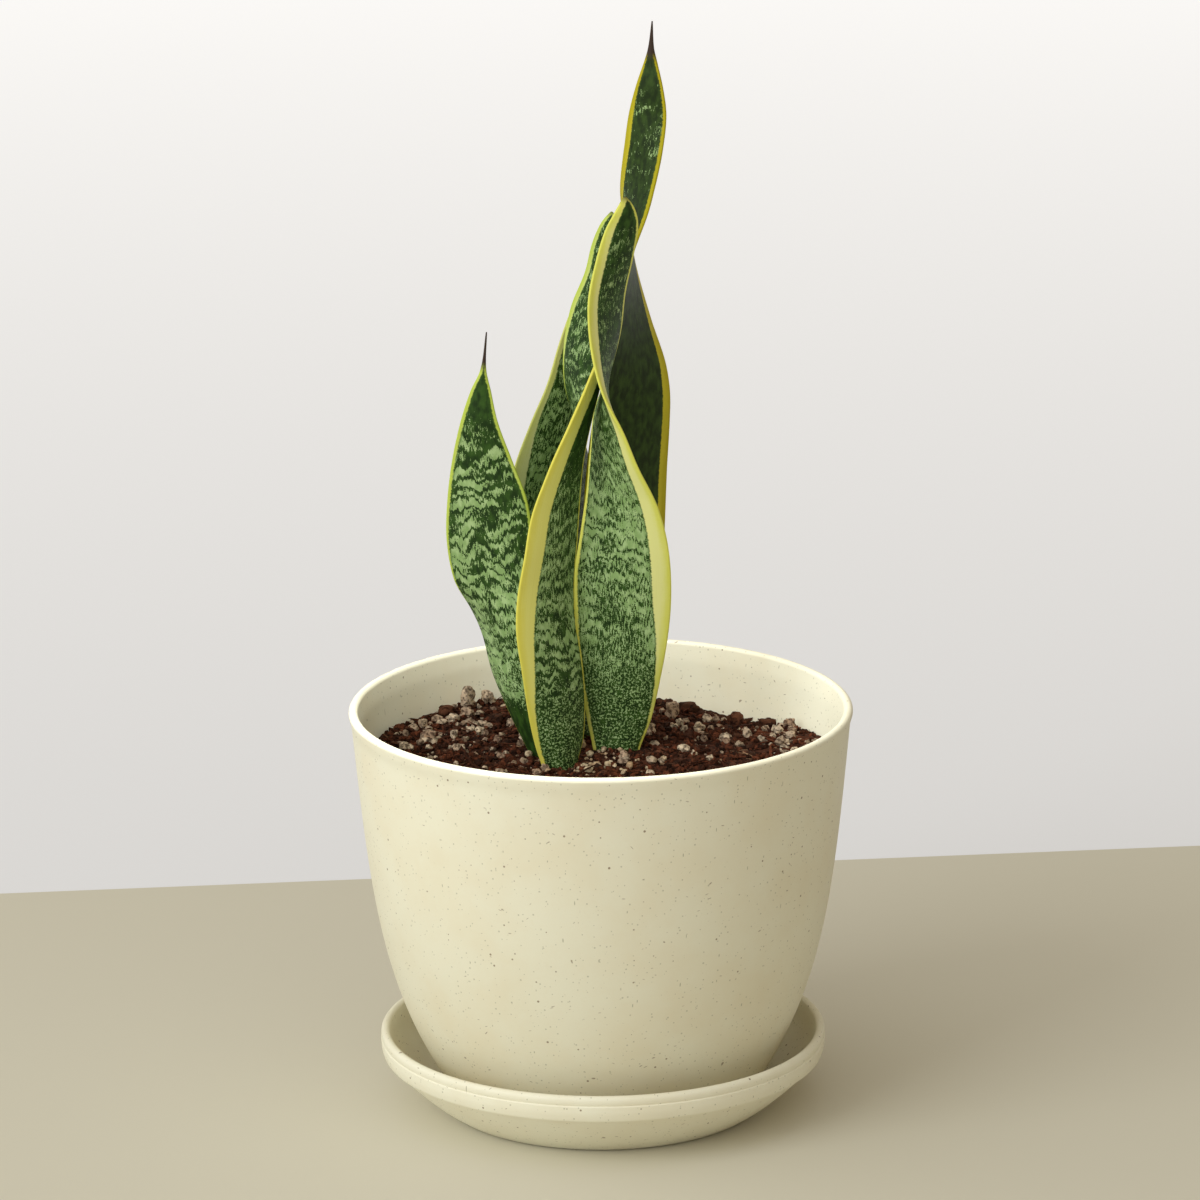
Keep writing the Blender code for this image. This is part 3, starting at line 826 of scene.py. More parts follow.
class Station(NamedTuple):
    """One cross-section of a leaf, in mm and degrees.

    turn is how far the blade is turned about its length: at 0 its width lies along X,
    and a positive turn swings its right edge back. bulge is how far the middle of the
    blade stands proud of its two edges, on the front side.
    """

    height: float
    x: float
    y: float
    half_width: float
    turn: float
    bulge: float


class Marking(NamedTuple):
    """How a leaf is marked at one height.

    pale shifts the balance of pale and dark skin, bands and flecks are the strengths of
    the cross-bands and the fine flecks, and left and right are the margins' widths in mm.
    """

    height: float
    pale: float
    bands: float
    flecks: float
    left: float
    right: float


def stations(*rows: tuple[float, ...]) -> tuple[Station, ...]:
    """Return a leaf's stations, from rows of their numbers."""
    return tuple(Station(*row) for row in rows)


def markings(*rows: tuple[float, ...]) -> tuple[Marking, ...]:
    """Return a leaf's markings, from rows of their numbers."""
    return tuple(Marking(*row) for row in rows)


LIME = ((0.50, 0.62, 0.09), (0.66, 0.74, 0.26))
GOLD = ((0.78, 0.72, 0.11), (0.80, 0.78, 0.21))
BUTTER = ((0.74, 0.75, 0.13), (0.82, 0.83, 0.32))
# darker margin yellows for the leaf that stands in the front leaf's shade: painted shade
SHADED_AMBER = ((0.44, 0.38, 0.008), (0.58, 0.51, 0.03))
STRAW = ((0.62, 0.64, 0.18), (0.72, 0.75, 0.36))
GREEN = ((0.013, 0.036, 0.006), (0.040, 0.098, 0.015))
# darker greens for the same leaf: painted shade
SHADED_OLIVE = ((0.013, 0.028, 0.005), (0.036, 0.073, 0.012))


@dataclass
class Leaf:
    """One stiff twisted blade, lofted through its stations."""

    name: str
    stations: Sequence[Station]
    markings: Sequence[Marking]
    margin: tuple[Colour, Colour]
    seed: float
    spine: float = 9.0  # length of the brown tip, in mm
    greens: tuple[Colour, Colour] = GREEN
    columns: int = 26
    rows: int = 170
    thickness: float = 2.0
    base_thickness: float = 4.0
    base_reach: float = 45.0
    edge_share: float = 0.4
    ripple: float = 0.35  # how far the edges wander, in mm

    @staticmethod
    def along(rows: Sequence[tuple], column: int, heights: np.ndarray) -> np.ndarray:
        """Read one column of a table on a smooth curve through its rows.

        Args:
            rows: Stations or markings, each with its height first.
            column: Which value to read.
            heights: Heights to read it at, in mm.

        Returns:
            One value for each height.
        """
        knots = np.array([row[0] for row in rows], float)
        values = np.array([row[column] for row in rows], float)
        slopes = np.gradient(values, knots) if len(knots) > 2 else np.zeros(len(knots))
        slopes[1:-1] = (values[2:] - values[:-2]) / (knots[2:] - knots[:-2])
        heights = np.clip(heights, knots[0], knots[-1])
        i = np.clip(np.searchsorted(knots, heights) - 1, 0, len(knots) - 2)
        span = knots[i + 1] - knots[i]
        t = (heights - knots[i]) / span
        return (
            (2 * t**3 - 3 * t**2 + 1) * values[i]
            + (t**3 - 2 * t**2 + t) * span * slopes[i]
            + (3 * t**2 - 2 * t**3) * values[i + 1]
            + (t**3 - t**2) * span * slopes[i + 1]
        )

    def shape(self, u: np.ndarray, heights: np.ndarray) -> tuple[np.ndarray, np.ndarray, np.ndarray]:
        """Place points on the blade's middle surface.

        Args:
            u: Place across the blade, from -1 at the left edge to 1 at the right.
            heights: Height of each point, in mm.

        Returns:
            The places in metres, the half widths and the thicknesses, both in mm.
        """
        x, y, half_width, turn, bulge = (self.along(self.stations, c, heights) for c in range(1, 6))
        half_width = np.maximum(half_width, 0.2)
        turn = np.radians(turn)
        sway = np.array([noise.noise(Vector((h / 17.0, self.seed, round(s)))) for h, s in zip(heights, u)])
        fade = np.clip(half_width / 9.0, 0, 1) * np.abs(u) ** 3
        lift = bulge * (1 - u**2) + self.ripple * sway * fade
        place = np.stack(
            [
                x + np.cos(turn) * u * half_width + np.sin(turn) * lift,
                y + np.sin(turn) * u * half_width - np.cos(turn) * lift,
                heights,
            ],
            axis=1,
        )
        low = self.stations[0].height
        above = np.clip(1 - (heights - low) / self.base_reach, 0, 1)
        thick = self.thickness + (self.base_thickness - self.thickness) * above**2
        thick = np.minimum(thick, 1.5 * half_width)
        thick *= self.edge_share + (1 - self.edge_share) * (1 - u**2)
        return place * MM, half_width, thick

    def build(self) -> None:
        """Loft the blade, thicken it, mark it and dress it."""
        deselect_all()
        bpy.ops.mesh.primitive_grid_add(x_subdivisions=self.columns, y_subdivisions=self.rows, size=2)
        blade = named(f"{self.name}_blade")
        flat = vertex_places(blade)
        u = np.sin(flat[:, 0] * math.pi / 2) * 0.35 + flat[:, 0] * 0.65
        low, high = self.stations[0].height, self.stations[-1].height
        heights = low + (high - low) * (flat[:, 1] + 1) / 2
        places, half_width, thick = self.shape(u, heights)
        move_vertices(blade, places)
        set_vectors(blade, "place_on_leaf", np.stack([u * half_width, heights, half_width], axis=1))
        marks = [self.along(self.markings, c, heights) for c in (1, 2, 3)]
        set_vectors(blade, "markings", np.stack(marks, axis=1))
        left, right = (self.along(self.markings, c, heights) for c in (4, 5))
        brown = np.clip((heights - (high - self.spine)) / 3.0, 0, 1)
        set_vectors(blade, "margins", np.stack([left, right, brown], axis=1))
        group = blade.vertex_groups.new(name="thickness")
        for i, share in enumerate(thick / self.base_thickness):
            group.add([i], float(share), "REPLACE")
        apply_modifier(
            blade,
            "SOLIDIFY",
            thickness=self.base_thickness * MM,
            offset=0.0,
            vertex_group="thickness",
            thickness_vertex_group=0.0,
        )
        take_up(blade)
        bpy.ops.object.mode_set(mode="EDIT")
        faces_out()
        apply_modifier(blade, "SUBSURF", levels=1, render_levels=1)
        smooth(blade, 80.0)
        finish = LeafFinish(self.seed, *self.margin, *self.greens)
        hand_over(blade, finish.material(f"skin of {self.name}"), Slot.LEAF, self.name)


# fmt: off
LEAVES = (
    Leaf(
        "leaf_left",
        stations(
            (103, -16.5, 8, 4.6, -30, 2.0), (112, -17.7, 8, 5.2, -32, 2.2), (124, -21.0, 8, 9.0, -36, 2.4),
            (138, -25.2, 8, 11.8, -40, 2.2), (151, -28.0, 8, 12.9, -42, 2.0),
            (160, -30.3, 7, 13.4, -36, 1.6), (171, -33.2, 7, 13.8, -16, 1.0),
            (184, -34.7, 7, 13.9, -8, 0.6), (197, -35.3, 7, 12.8, -6, 0.4), (210, -36.8, 7, 9.6, -6, 0.2),
            (223, -37.6, 6, 5.9, -6, 0.1), (233, -37.0, 6, 3.2, -6, 0.0), (240, -36.1, 6, 0.9, -6, 0.0),
            (252, -35.0, 6, 0.2, -6, 0.0),
        ),
        markings(
            (103, -0.9, 0.1, 0.4, 0.8, 1.2), (126, -0.6, 0.3, 0.5, 0.8, 1.2),
            (134, 0.08, 0.8, 0.8, 0.5, 1.2), (150, 0.24, 1.1, 0.7, 0.2, 1.2),
            (168, 0.22, 1.3, 0.6, 0.8, 1.2), (194, 0.14, 1.2, 0.6, 1.2, 1.2),
            (208, -0.18, 1.3, 0.6, 1.3, 1.3), (222, -0.36, 0.9, 0.9, 1.4, 1.2),
            (232, -1.10, 0.4, 0.5, 1.3, 0.9), (252, -1.10, 0.0, 0.0, 0.8, 0.6),
        ),
        LIME, 2.0, spine=13.0,
    ),
    Leaf(
        "leaf_back_left",
        stations(
            (103, -16.5, 36, 4.6, 20, 2.0), (118, -17.5, 36, 7.0, 25, 2.2), (136, -19.4, 36, 10.2, 30, 1.8),
            (160, -20.4, 36, 12.6, 32, 1.2), (182, -19.4, 36, 13.2, 30, 0.8),
            (201, -16.2, 37, 12.7, 30, 0.5), (215, -12.4, 39, 11.0, 30, 0.3), (227, -9.0, 40, 8.8, 30, 0.2),
            (240, -7.0, 40, 6.5, 30, 0.1), (249, -6.2, 40, 3.6, 30, 0.0), (254, -5.8, 40, 0.9, 30, 0.0),
            (259, -5.2, 40, 0.2, 30, 0.0),
        ),
        markings(
            (103, -0.5, 0.2, 0.8, 1.0, 1.0), (150, -0.1, 0.8, 0.8, 2.5, 1.2),
            (190, 0.20, 0.9, 0.9, 5.2, 1.4), (203, 0.18, 0.8, 1.0, 4.6, 1.4),
            (216, 0.10, 0.9, 1.0, 2.6, 1.4), (236, -0.15, 1.0, 0.7, 1.9, 1.2),
            (259, -0.80, 0.2, 0.2, 1.0, 0.8),
        ),
        STRAW, 11.0, spine=6.0,
    ),
    Leaf(
        "leaf_middle_twisted",
        stations(
            (103, -6.5, 23, 4.4, -140, -1.8), (118, -7.5, 24, 6.4, -138, -2.0),
            (138, -10.0, 25, 9.0, -134, -1.6), (165, -11.5, 26, 10.4, -130, -1.0),
            (188, -9.4, 26, 10.0, -120, -0.6), (200, -6.5, 26, 9.6, -112, -0.4),
            (214, -6.2, 26, 9.2, -88, 0.0), (227, -5.7, 26, 10.2, -62, 0.4),
            (240, -4.2, 25, 10.4, -50, 0.6), (254, -0.8, 24, 9.8, -38, 0.6), (266, 2.0, 23, 7.2, -34, 0.4),
            (276, 3.4, 22, 5.8, -30, 0.2), (283, 4.0, 21, 3.2, -30, 0.1), (287, 4.6, 21, 0.3, -30, 0.0),
        ),
        markings(
            (103, -0.3, 0.2, 1.0, 1.0, 0.8), (160, 0.0, 0.7, 0.9, 1.2, 0.8),
            (200, -0.05, 0.7, 1.0, 1.2, 0.7), (235, -0.16, 0.9, 0.8, 1.4, 0.6),
            (255, -0.20, 0.9, 0.8, 2.4, 0.8), (287, -0.3, 0.4, 0.8, 1.6, 0.8),
        ),
        LIME, 23.0, spine=2.0,
    ),
    Leaf(
        "leaf_front_twisted",
        stations(
            (103, 4.5, 10, 5.6, -2, 2.2), (114, 4.9, 10, 7.3, -3, 2.4), (124, 5.8, 10, 10.2, -4, 2.2),
            (144, 6.5, 8, 13.8, -7, 1.6), (158, 7.0, 7, 15.3, -9, 1.3), (171, 7.2, 6, 15.8, -13, 1.0),
            (185, 7.7, 5, 15.3, -26, 0.8), (198, 7.1, 4, 14.8, -41, 0.6), (211, 4.9, 3, 14.2, -58, 0.4),
            (224, 3.0, 2, 13.6, -72, 0.2), (236, 2.2, 1, 12.5, -94, 0.0), (250, 2.3, 1, 10.8, -115, -0.2),
            (264, 2.7, 0, 9.4, -128, -0.3), (277, 5.3, -1, 7.6, -140, -0.4),
            (287, 7.6, -2, 5.8, -150, -0.3), (293, 8.7, -3, 3.2, -152, -0.1),
            (297, 8.6, -3, 0.4, -152, 0.0),
        ),
        markings(
            (103, -0.32, 0.0, 1.2, 1.4, 0.8), (124, -0.30, 0.1, 1.2, 1.7, 1.4),
            (136, -0.16, 0.3, 1.2, 1.6, 1.9), (151, 0.10, 0.6, 1.1, 1.6, 3.8),
            (165, 0.20, 0.9, 1.0, 1.6, 6.0), (190, 0.24, 1.2, 0.8, 1.5, 6.3),
            (207, 0.20, 0.8, 1.1, 1.5, 6.0), (235, -0.25, 0.8, 0.9, 1.5, 4.8),
            (264, -0.35, 0.8, 0.8, 1.4, 4.0), (288, -0.50, 0.6, 0.7, 1.2, 2.8),
            (297, -0.70, 0.2, 0.3, 1.0, 1.4),
        ),
        BUTTER, 31.0, spine=2.5,
    ),
    # This leaf stands in the front leaf's shade: its olive greens, amber margins and low paleness are
    # painted shade.
    Leaf(
        "leaf_tall_twisted",
        stations(
            (103, 8.0, 33, 5.0, 10, 2.0), (118, 7.4, 33, 6.8, 14, 2.2), (138, 7.4, 33, 11.0, 20, 1.8),
            (165, 7.4, 34, 14.4, 26, 1.2), (196, 8.5, 34, 15.8, 34, 0.8), (219, 10.6, 34, 15.4, 37, 0.6),
            (232, 11.5, 34, 14.8, 48, 0.4), (245, 10.8, 34, 14.0, 63, 0.2), (259, 10.2, 34, 13.0, 77, 0.0),
            (276, 10.7, 33, 11.0, 96, 0.0), (290, 12.3, 32, 8.9, 123, -0.2),
            (305, 14.7, 31, 7.5, 142, -0.3), (316, 16.1, 31, 6.7, 149, -0.3),
            (325, 16.7, 30, 4.8, 150, -0.2), (333, 17.1, 30, 2.2, 150, 0.0), (337, 17.2, 30, 1.0, 150, 0.0),
            (346, 17.6, 30, 0.2, 150, 0.0),
        ),
        markings(
            (103, -0.5, 0.1, 0.8, 1.2, 1.0), (140, -0.4, 0.5, 0.6, 1.4, 2.4),
            (170, -0.9, 0.8, 0.3, 1.4, 3.6), (215, -0.95, 0.8, 0.3, 1.4, 3.9),
            (245, -0.9, 0.7, 0.3, 1.4, 3.6), (276, -0.6, 0.8, 0.5, 1.4, 3.0),
            (305, -0.35, 1.0, 0.6, 1.3, 2.8), (325, -0.55, 0.8, 0.4, 0.9, 1.6),
            (346, -1.00, 0.0, 0.0, 0.2, 0.3),
        ),
        SHADED_AMBER, 43.0, spine=13.0, greens=SHADED_OLIVE,
    ),
    Leaf(
        "leaf_front_left",
        stations(
            (103, -12.0, -2, 4.6, 28, 2.2), (112, -13.3, -2, 6.0, 30, 2.6), (120, -13.4, -2, 8.6, 30, 2.8),
            (133, -14.2, -2, 10.9, 34, 2.6), (146, -15.6, -2, 12.0, 38, 2.2),
            (158, -17.1, -2, 12.5, 42, 1.8), (171, -17.0, -1, 12.5, 45, 1.5),
            (184, -15.3, 0, 12.0, 47, 1.2), (197, -13.5, 1, 11.0, 48, 0.9), (210, -10.2, 3, 9.0, 54, 0.6),
            (223, -5.8, 5, 6.9, 58, 0.4), (233, -2.2, 6, 4.4, 55, 0.2), (241, 0.4, 7, 2.4, 50, 0.0),
            (247, 1.8, 8, 0.3, 50, 0.0),
        ),
        markings(
            (103, -0.34, 0.0, 1.2, 0.7, 0.8), (119, -0.26, 0.1, 1.2, 1.6, 1.0),
            (132, -0.15, 0.5, 1.0, 2.4, 1.0), (145, 0.12, 1.3, 0.6, 4.2, 1.2),
            (160, 0.14, 1.3, 0.7, 6.2, 1.2), (176, 0.12, 0.8, 1.0, 7.2, 1.2),
            (198, -0.12, 0.6, 1.1, 7.0, 1.2), (215, -0.60, 0.4, 1.0, 6.0, 1.2),
            (232, -0.80, 0.2, 0.8, 4.6, 1.0), (247, -0.60, 0.1, 0.4, 2.4, 0.8),
        ),
        GOLD, 57.0, spine=1.5,
    ),
)
# fmt: on


# ---------------------------------------------------------------- potting mix


class Swell(NamedTuple):
    """A rise or dip of the soil: its middle, its height and how far it spreads, in mm."""

    x: float
    y: float
    rise: float
    spread: float


@dataclass
class SoilBed:
    """The potting mix that fills the pot up to its head space."""

    pot: Pot
    level: float = 112.6 * MM
    lump: float = 0.9 * MM
    lump_size: float = 13.0 * MM
    clearance: float = 0.6 * MM
    crumb: float = 0.75 * MM
    crumb_size: float = 4.2 * MM
    grit: float = 0.22 * MM
    grit_size: float = 1.3 * MM
    top_edge: float = 6.0 * MM  # how far below its level the straight sides start
    floor_gap: float = 0.3 * MM
    foot: float = 5.0 * MM  # height of the slope at the foot of the sides
    foot_inset: float = 3.9 * MM  # and how far in from the wall it ends
    grid: int = 200
    swells: tuple[Swell, ...] = (
        Swell(-70, 24, 2.6, 30),
        Swell(-34, 66, 2.0, 26),
        Swell(48, 58, -3.6, 24),
        Swell(72, 20, 1.6, 16),
        Swell(5, 12, 1.8, 16),
        Swell(-14, -4, -1.0, 12),
        Swell(0, -60, -1.5, 30),
    )

    def surface(self, x: float, y: float) -> float:
        """Return the height of the soil at a place, without its crumbs."""
        level = self.level
        for swell in self.swells:
            far = math.hypot(x / MM - swell.x, y / MM - swell.y) / swell.spread
            level += swell.rise * MM * math.exp(-far * far)
        return level + self.lump * noise.noise(Vector((x, y, 0.0)) / self.lump_size)

    def rough_surface(self, x: float, y: float) -> float:
        """Return the height of the soil at a place, crumbs included."""
        place = Vector((x, y, 0.0))
        crumbs = lump_noise(place, self.crumb_size, 4)
        grit = lump_noise(place + Vector((0.3, 0.1, 0.0)), self.grit_size, 2)
        return self.surface(x, y) + self.crumb * crumbs + self.grit * grit

    def edge(self) -> float:
        """Return the radius of the soil's top, just inside the wall."""
        return self.pot.cavity(self.level) - self.clearance

    def build(self) -> None:
        """Shape the bed's crumbly top, draw its sides down inside the pot and close it."""
        deselect_all()
        bpy.ops.mesh.primitive_grid_add(x_subdivisions=self.grid, y_subdivisions=self.grid, size=2)
        bed = named("potting_mix_bed")
        flat = vertex_places(bed)
        x = flat[:, 0] * np.sqrt(1 - flat[:, 1] ** 2 / 2) * self.edge()
        y = flat[:, 1] * np.sqrt(1 - flat[:, 0] ** 2 / 2) * self.edge()
        z = [self.rough_surface(a, b) for a, b in zip(x, y)]
        move_vertices(bed, np.stack([x, y, z], axis=1))
        bottom = self.pot.base + self.pot.floor + self.floor_gap
        levels = np.linspace(self.level - self.top_edge, bottom + self.foot, 9)
        rings = [(z, self.pot.cavity(z) - self.clearance) for z in levels]
        rings.append((bottom, self.pot.cavity(bottom) - self.foot_inset))
        take_up(bed)
        bpy.ops.object.mode_set(mode="EDIT")
        bpy.ops.mesh.select_all(action="DESELECT")
        bpy.ops.mesh.select_non_manifold()
        for height, radius in rings:
            bpy.ops.mesh.extrude_region_move()
            bpy.ops.object.mode_set(mode="OBJECT")
            for vertex in bed.data.vertices:
                if vertex.select:
                    out = Vector((vertex.co.x, vertex.co.y, 0.0)).normalized() * radius
                    vertex.co = (out.x, out.y, height)
            bpy.ops.object.mode_set(mode="EDIT")
        bpy.ops.mesh.edge_face_add()
        faces_out()
        smooth(bed, 60.0)
        hand_over(bed, PeatFinish().material("potting mix"), Slot.SOIL, "soil")


# ---------------------------------------------------------------- loose grains and crumbs


def knocked_ball(
    name: str, subdivisions: int, knock: float, seed: float, flat: float = 0.5
) -> bpy.types.Object:
    """Model a lump of unit size with knocked-off corners.

    Args:
        name: Name for the lump.
        subdivisions: Fineness of the ball that it starts from.
        knock: How strongly it is knocked about.
        seed: A number that picks the lump's own shape.
        flat: Height at which its top and bottom are cut off, as a share of its size.

    Returns:
        The lump, about 1 m across, at the origin.
    """
    deselect_all()
    bpy.ops.mesh.primitive_ico_sphere_add(subdivisions=subdivisions, radius=0.5)
    lump = named(name)
    for vertex in lump.data.vertices:
        place = vertex.co + Vector((seed, -seed, 2 * seed))
        broad = noise.noise(place * 2.3)
        facet = noise.cell(place * 2.9)
        fine = lump_noise(place, 0.2, 3) if subdivisions > 2 else 0.0
        vertex.co *= 1 + knock * broad + 0.12 * facet + 0.10 * knock * fine
        vertex.co.z = math.copysign(min(abs(vertex.co.z), flat), vertex.co.z)
    return lump


class GrainKind(NamedTuple):
    """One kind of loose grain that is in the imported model."""

    prefix: str
    finish: GrainFinish
    slot: Slot
    count: int
    knock: float
    flat: float
    detail: int


@dataclass
class LooseGrains:
    """The larger grains, chips and pebbles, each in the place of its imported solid."""

    kinds: tuple[GrainKind, ...] = (
        GrainKind("pumice_grain", PUMICE, Slot.PUMICE, 16, 0.8, 0.44, 4),
        GrainKind("bark_chip", BARK, Slot.BARK, 6, 0.45, 0.36, 4),
        GrainKind("pebble", PEBBLE, Slot.PEBBLE, 6, 0.3, 0.47, 4),
    )

    def build(self) -> None:
        """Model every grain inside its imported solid's box and dress it."""
        for kind in self.kinds:
            material = kind.finish.material(f"{kind.prefix} skin")
            for number in range(1, kind.count + 1):
                node = f"{kind.prefix}_{number:02d}"
                low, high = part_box(node)
                lump = knocked_ball(f"{node}_lump", kind.detail, kind.knock, 3.7 * number, kind.flat)
                places = vertex_places(lump)
                span = places.max(0) - places.min(0)
                middle = (places.max(0) + places.min(0)) / 2
                size = np.array(high - low)
                places = (places - middle) / span * size + np.array(low + high) / 2
                move_vertices(lump, places)
                tone = np.tile([(number * 0.618) % 1.0, 0.0, 0.0], (len(places), 1))
                set_vectors(lump, "tone", tone)
                smooth(lump, 50.0)
                hand_over(lump, material, kind.slot, node)


class Heap(NamedTuple):
    """A place where loose pieces gather: its middle and reach, in mm, and how densely they lie."""

    x: float
    y: float
    reach_x: float
    reach_y: float
    share: float


@dataclass(frozen=True)
class Density:
    """How densely loose pieces lie: evenly to begin with, and more of them in heaps."""

    even: float
    heaps: tuple[Heap, ...] = ()

    def at(self, x: float, y: float) -> float:
        """Return the density at a place, which is given in mm."""
        density = self.even
        for heap in self.heaps:
            across, back = (x - heap.x) / heap.reach_x, (y - heap.y) / heap.reach_y
            density += heap.share * math.exp(-(across**2) - back**2)
        return density


EVERYWHERE = Density(1.0)
GRAVELLY = Density(0.10, (Heap(-50, 28, 22, 34, 1.0), Heap(38, 36, 24, 20, 0.8), Heap(62, 14, 9, 12, 0.9)))
BY_THE_LEAVES = Density(0.03, (Heap(-4, -4, 15, 9, 1.0),))


@dataclass
class Scatter:
    """A crowd of small pieces on the soil, joined into one mesh."""

    name: str
    finish: GrainFinish
    slot: Slot
    count: int
    sizes: tuple[float, float]  # smallest and largest length, in mm
    shape: Colour  # length, width and height against that length
    seed: int
    density: Density
    sunk: float = 0.25
    tilt: float = 1.2
    skew: float = 2.0  # above 1, most pieces are small
    variety: int = 6  # number of different lumps
    most_tries: int = 60  # places tried for each piece
    rim_share: float = 0.4  # how much of its length a piece keeps from the soil's edge
    base_height: float = 114.0  # where a leaf's base is read, in mm
    base_gap: float = 1.6  # clear space round it, in mm
    base_share: float = 0.35  # and this much of a piece's own length

    def build(self, bed: SoilBed, leaves: Sequence[Leaf]) -> None:
        """Scatter the pieces over the soil and dress them.

        Args:
            bed: The soil that they lie on.
            leaves: The leaves, whose bases they stay clear of.
        """
        random = np.random.default_rng(self.seed)
        lumps = [knocked_ball(f"{self.name}_{i}", 1, 0.55, 1.3 * i + self.seed) for i in range(self.variety)]
        shapes = [vertex_places(lump) for lump in lumps]
        faces = np.array([list(face.vertices) for face in lumps[0].data.polygons])
        for lump in lumps:
            bpy.data.objects.remove(lump)
        all_places, all_faces, tones = [], [], []
        tries = 0
        while len(all_places) < self.count and tries < self.most_tries * self.count:
            tries += 1
            x, y = random.uniform(-1, 1, 2) * bed.edge()
            length = self.sizes[0] + (self.sizes[1] - self.sizes[0]) * random.random() ** self.skew
            if math.hypot(x, y) > bed.edge() - self.rim_share * length * MM:
                continue
            if random.random() > self.density.at(x / MM, y / MM) or self.on_leaf(x, y, length, leaves):
                continue
            turn = Matrix.Rotation(random.uniform(0, 2 * math.pi), 3, "Z")
            turn = turn @ Matrix.Rotation(random.normal(0, 0.35) * self.tilt, 3, "X")
            turn = turn @ Matrix.Rotation(random.normal(0, 0.3) * self.tilt, 3, "Y")
            scale = np.array(self.shape) * random.uniform(0.8, 1.2, 3) * length * MM
            places = (shapes[random.integers(len(shapes))] * scale) @ np.array(turn).T
            rise = bed.rough_surface(x, y) - places[:, 2].min() - self.sunk * np.ptp(places[:, 2])
            tones += [(random.random(), random.random() ** 3, 0.0)] * len(places)
            all_faces.append(faces + len(places) * len(all_places))
            all_places.append(places + np.array((x, y, rise)))
        mesh = bpy.data.meshes.new(self.name)
        mesh.from_pydata(np.concatenate(all_places).tolist(), [], np.concatenate(all_faces).tolist())
        crowd = placed(self.name, mesh)
        set_vectors(crowd, "tone", np.array(tones))
        hand_over(crowd, self.finish.material(f"{self.name} skin"), self.slot)

    def on_leaf(self, x: float, y: float, length: float, leaves: Sequence[Leaf]) -> bool:
        """Return whether a piece of this length would stick into a leaf's base."""
        for leaf in leaves:
            height = np.array([self.base_height])
            middle_x, middle_y, half, turn = (leaf.along(leaf.stations, c, height)[0] for c in (1, 2, 3, 4))
            turn = math.radians(turn)
            dx, dy = x / MM - middle_x, y / MM - middle_y
            along = dx * math.cos(turn) + dy * math.sin(turn)
            beside = -dx * math.sin(turn) + dy * math.cos(turn)
            reach = max(0.0, abs(along) - half)
            if math.hypot(reach, beside) < self.base_gap + self.base_share * length:
                return True
        return False


SCATTERS = (
    Scatter("peat_crumbs", CRUMB, Slot.SOIL, 5600, (0.8, 3.4), (1.0, 0.8, 0.7), 1, EVERYWHERE),
    Scatter("peat_fibres", CRUMB, Slot.SOIL, 1100, (3.0, 12.0), (1.0, 0.09, 0.07), 2, EVERYWHERE, 0.1, 0.5),
    Scatter("coir_fibres", FIBRE, Slot.SOIL, 620, (3.0, 10.0), (1.0, 0.05, 0.05), 8, EVERYWHERE, 0.1, 0.35),
    Scatter("bark_shreds", BARK, Slot.BARK, 320, (2.4, 6.5), (1.0, 0.5, 0.28), 3, EVERYWHERE, 0.2, 0.8),
    Scatter(
        "pumice_bits", PUMICE, Slot.PUMICE, 330, (1.2, 4.4), (1.0, 0.82, 0.75), 4, GRAVELLY, 0.15, skew=1.3
    ),
    Scatter("pumice_dust", PUMICE, Slot.PUMICE, 500, (0.4, 1.1), (1.0, 0.8, 0.8), 5, EVERYWHERE, 0.0),
    Scatter("cream_pebbles", PEBBLE, Slot.PEBBLE, 130, (0.9, 2.8), (1.0, 0.8, 0.7), 6, BY_THE_LEAVES, 0.15),
)


@dataclass
class Rhizome:
    """The buried rootstock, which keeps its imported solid."""

    node: str = "rhizome"

    def dress(self, nodes: dict[str, bpy.types.Object]) -> None:
        """Give the rootstock its corky skin."""
        root = nodes[self.node]
        root.data.materials.clear()
        root.data.materials.append(RHIZOME_BARK.material("rhizome skin"))
        log.info("%s keeps its packed solid", self.node)


# ---------------------------------------------------------------- studio


def area_light(name: str, place: Colour, size: float, power: float, colour: Colour) -> bpy.types.Object:
    """Hang a square light that shines straight down.

    Args:
        name: Name for the light.
        place: Where it hangs.
        size: Length of its sides.
        power: Its power, in watts.
        colour: Its colour.

    Returns:
        The light.
    """
    data = bpy.data.lights.new(name, "AREA")
    data.size, data.energy, data.color = size, power, colour
    light = placed(name, data)
    light.location = place
    return light


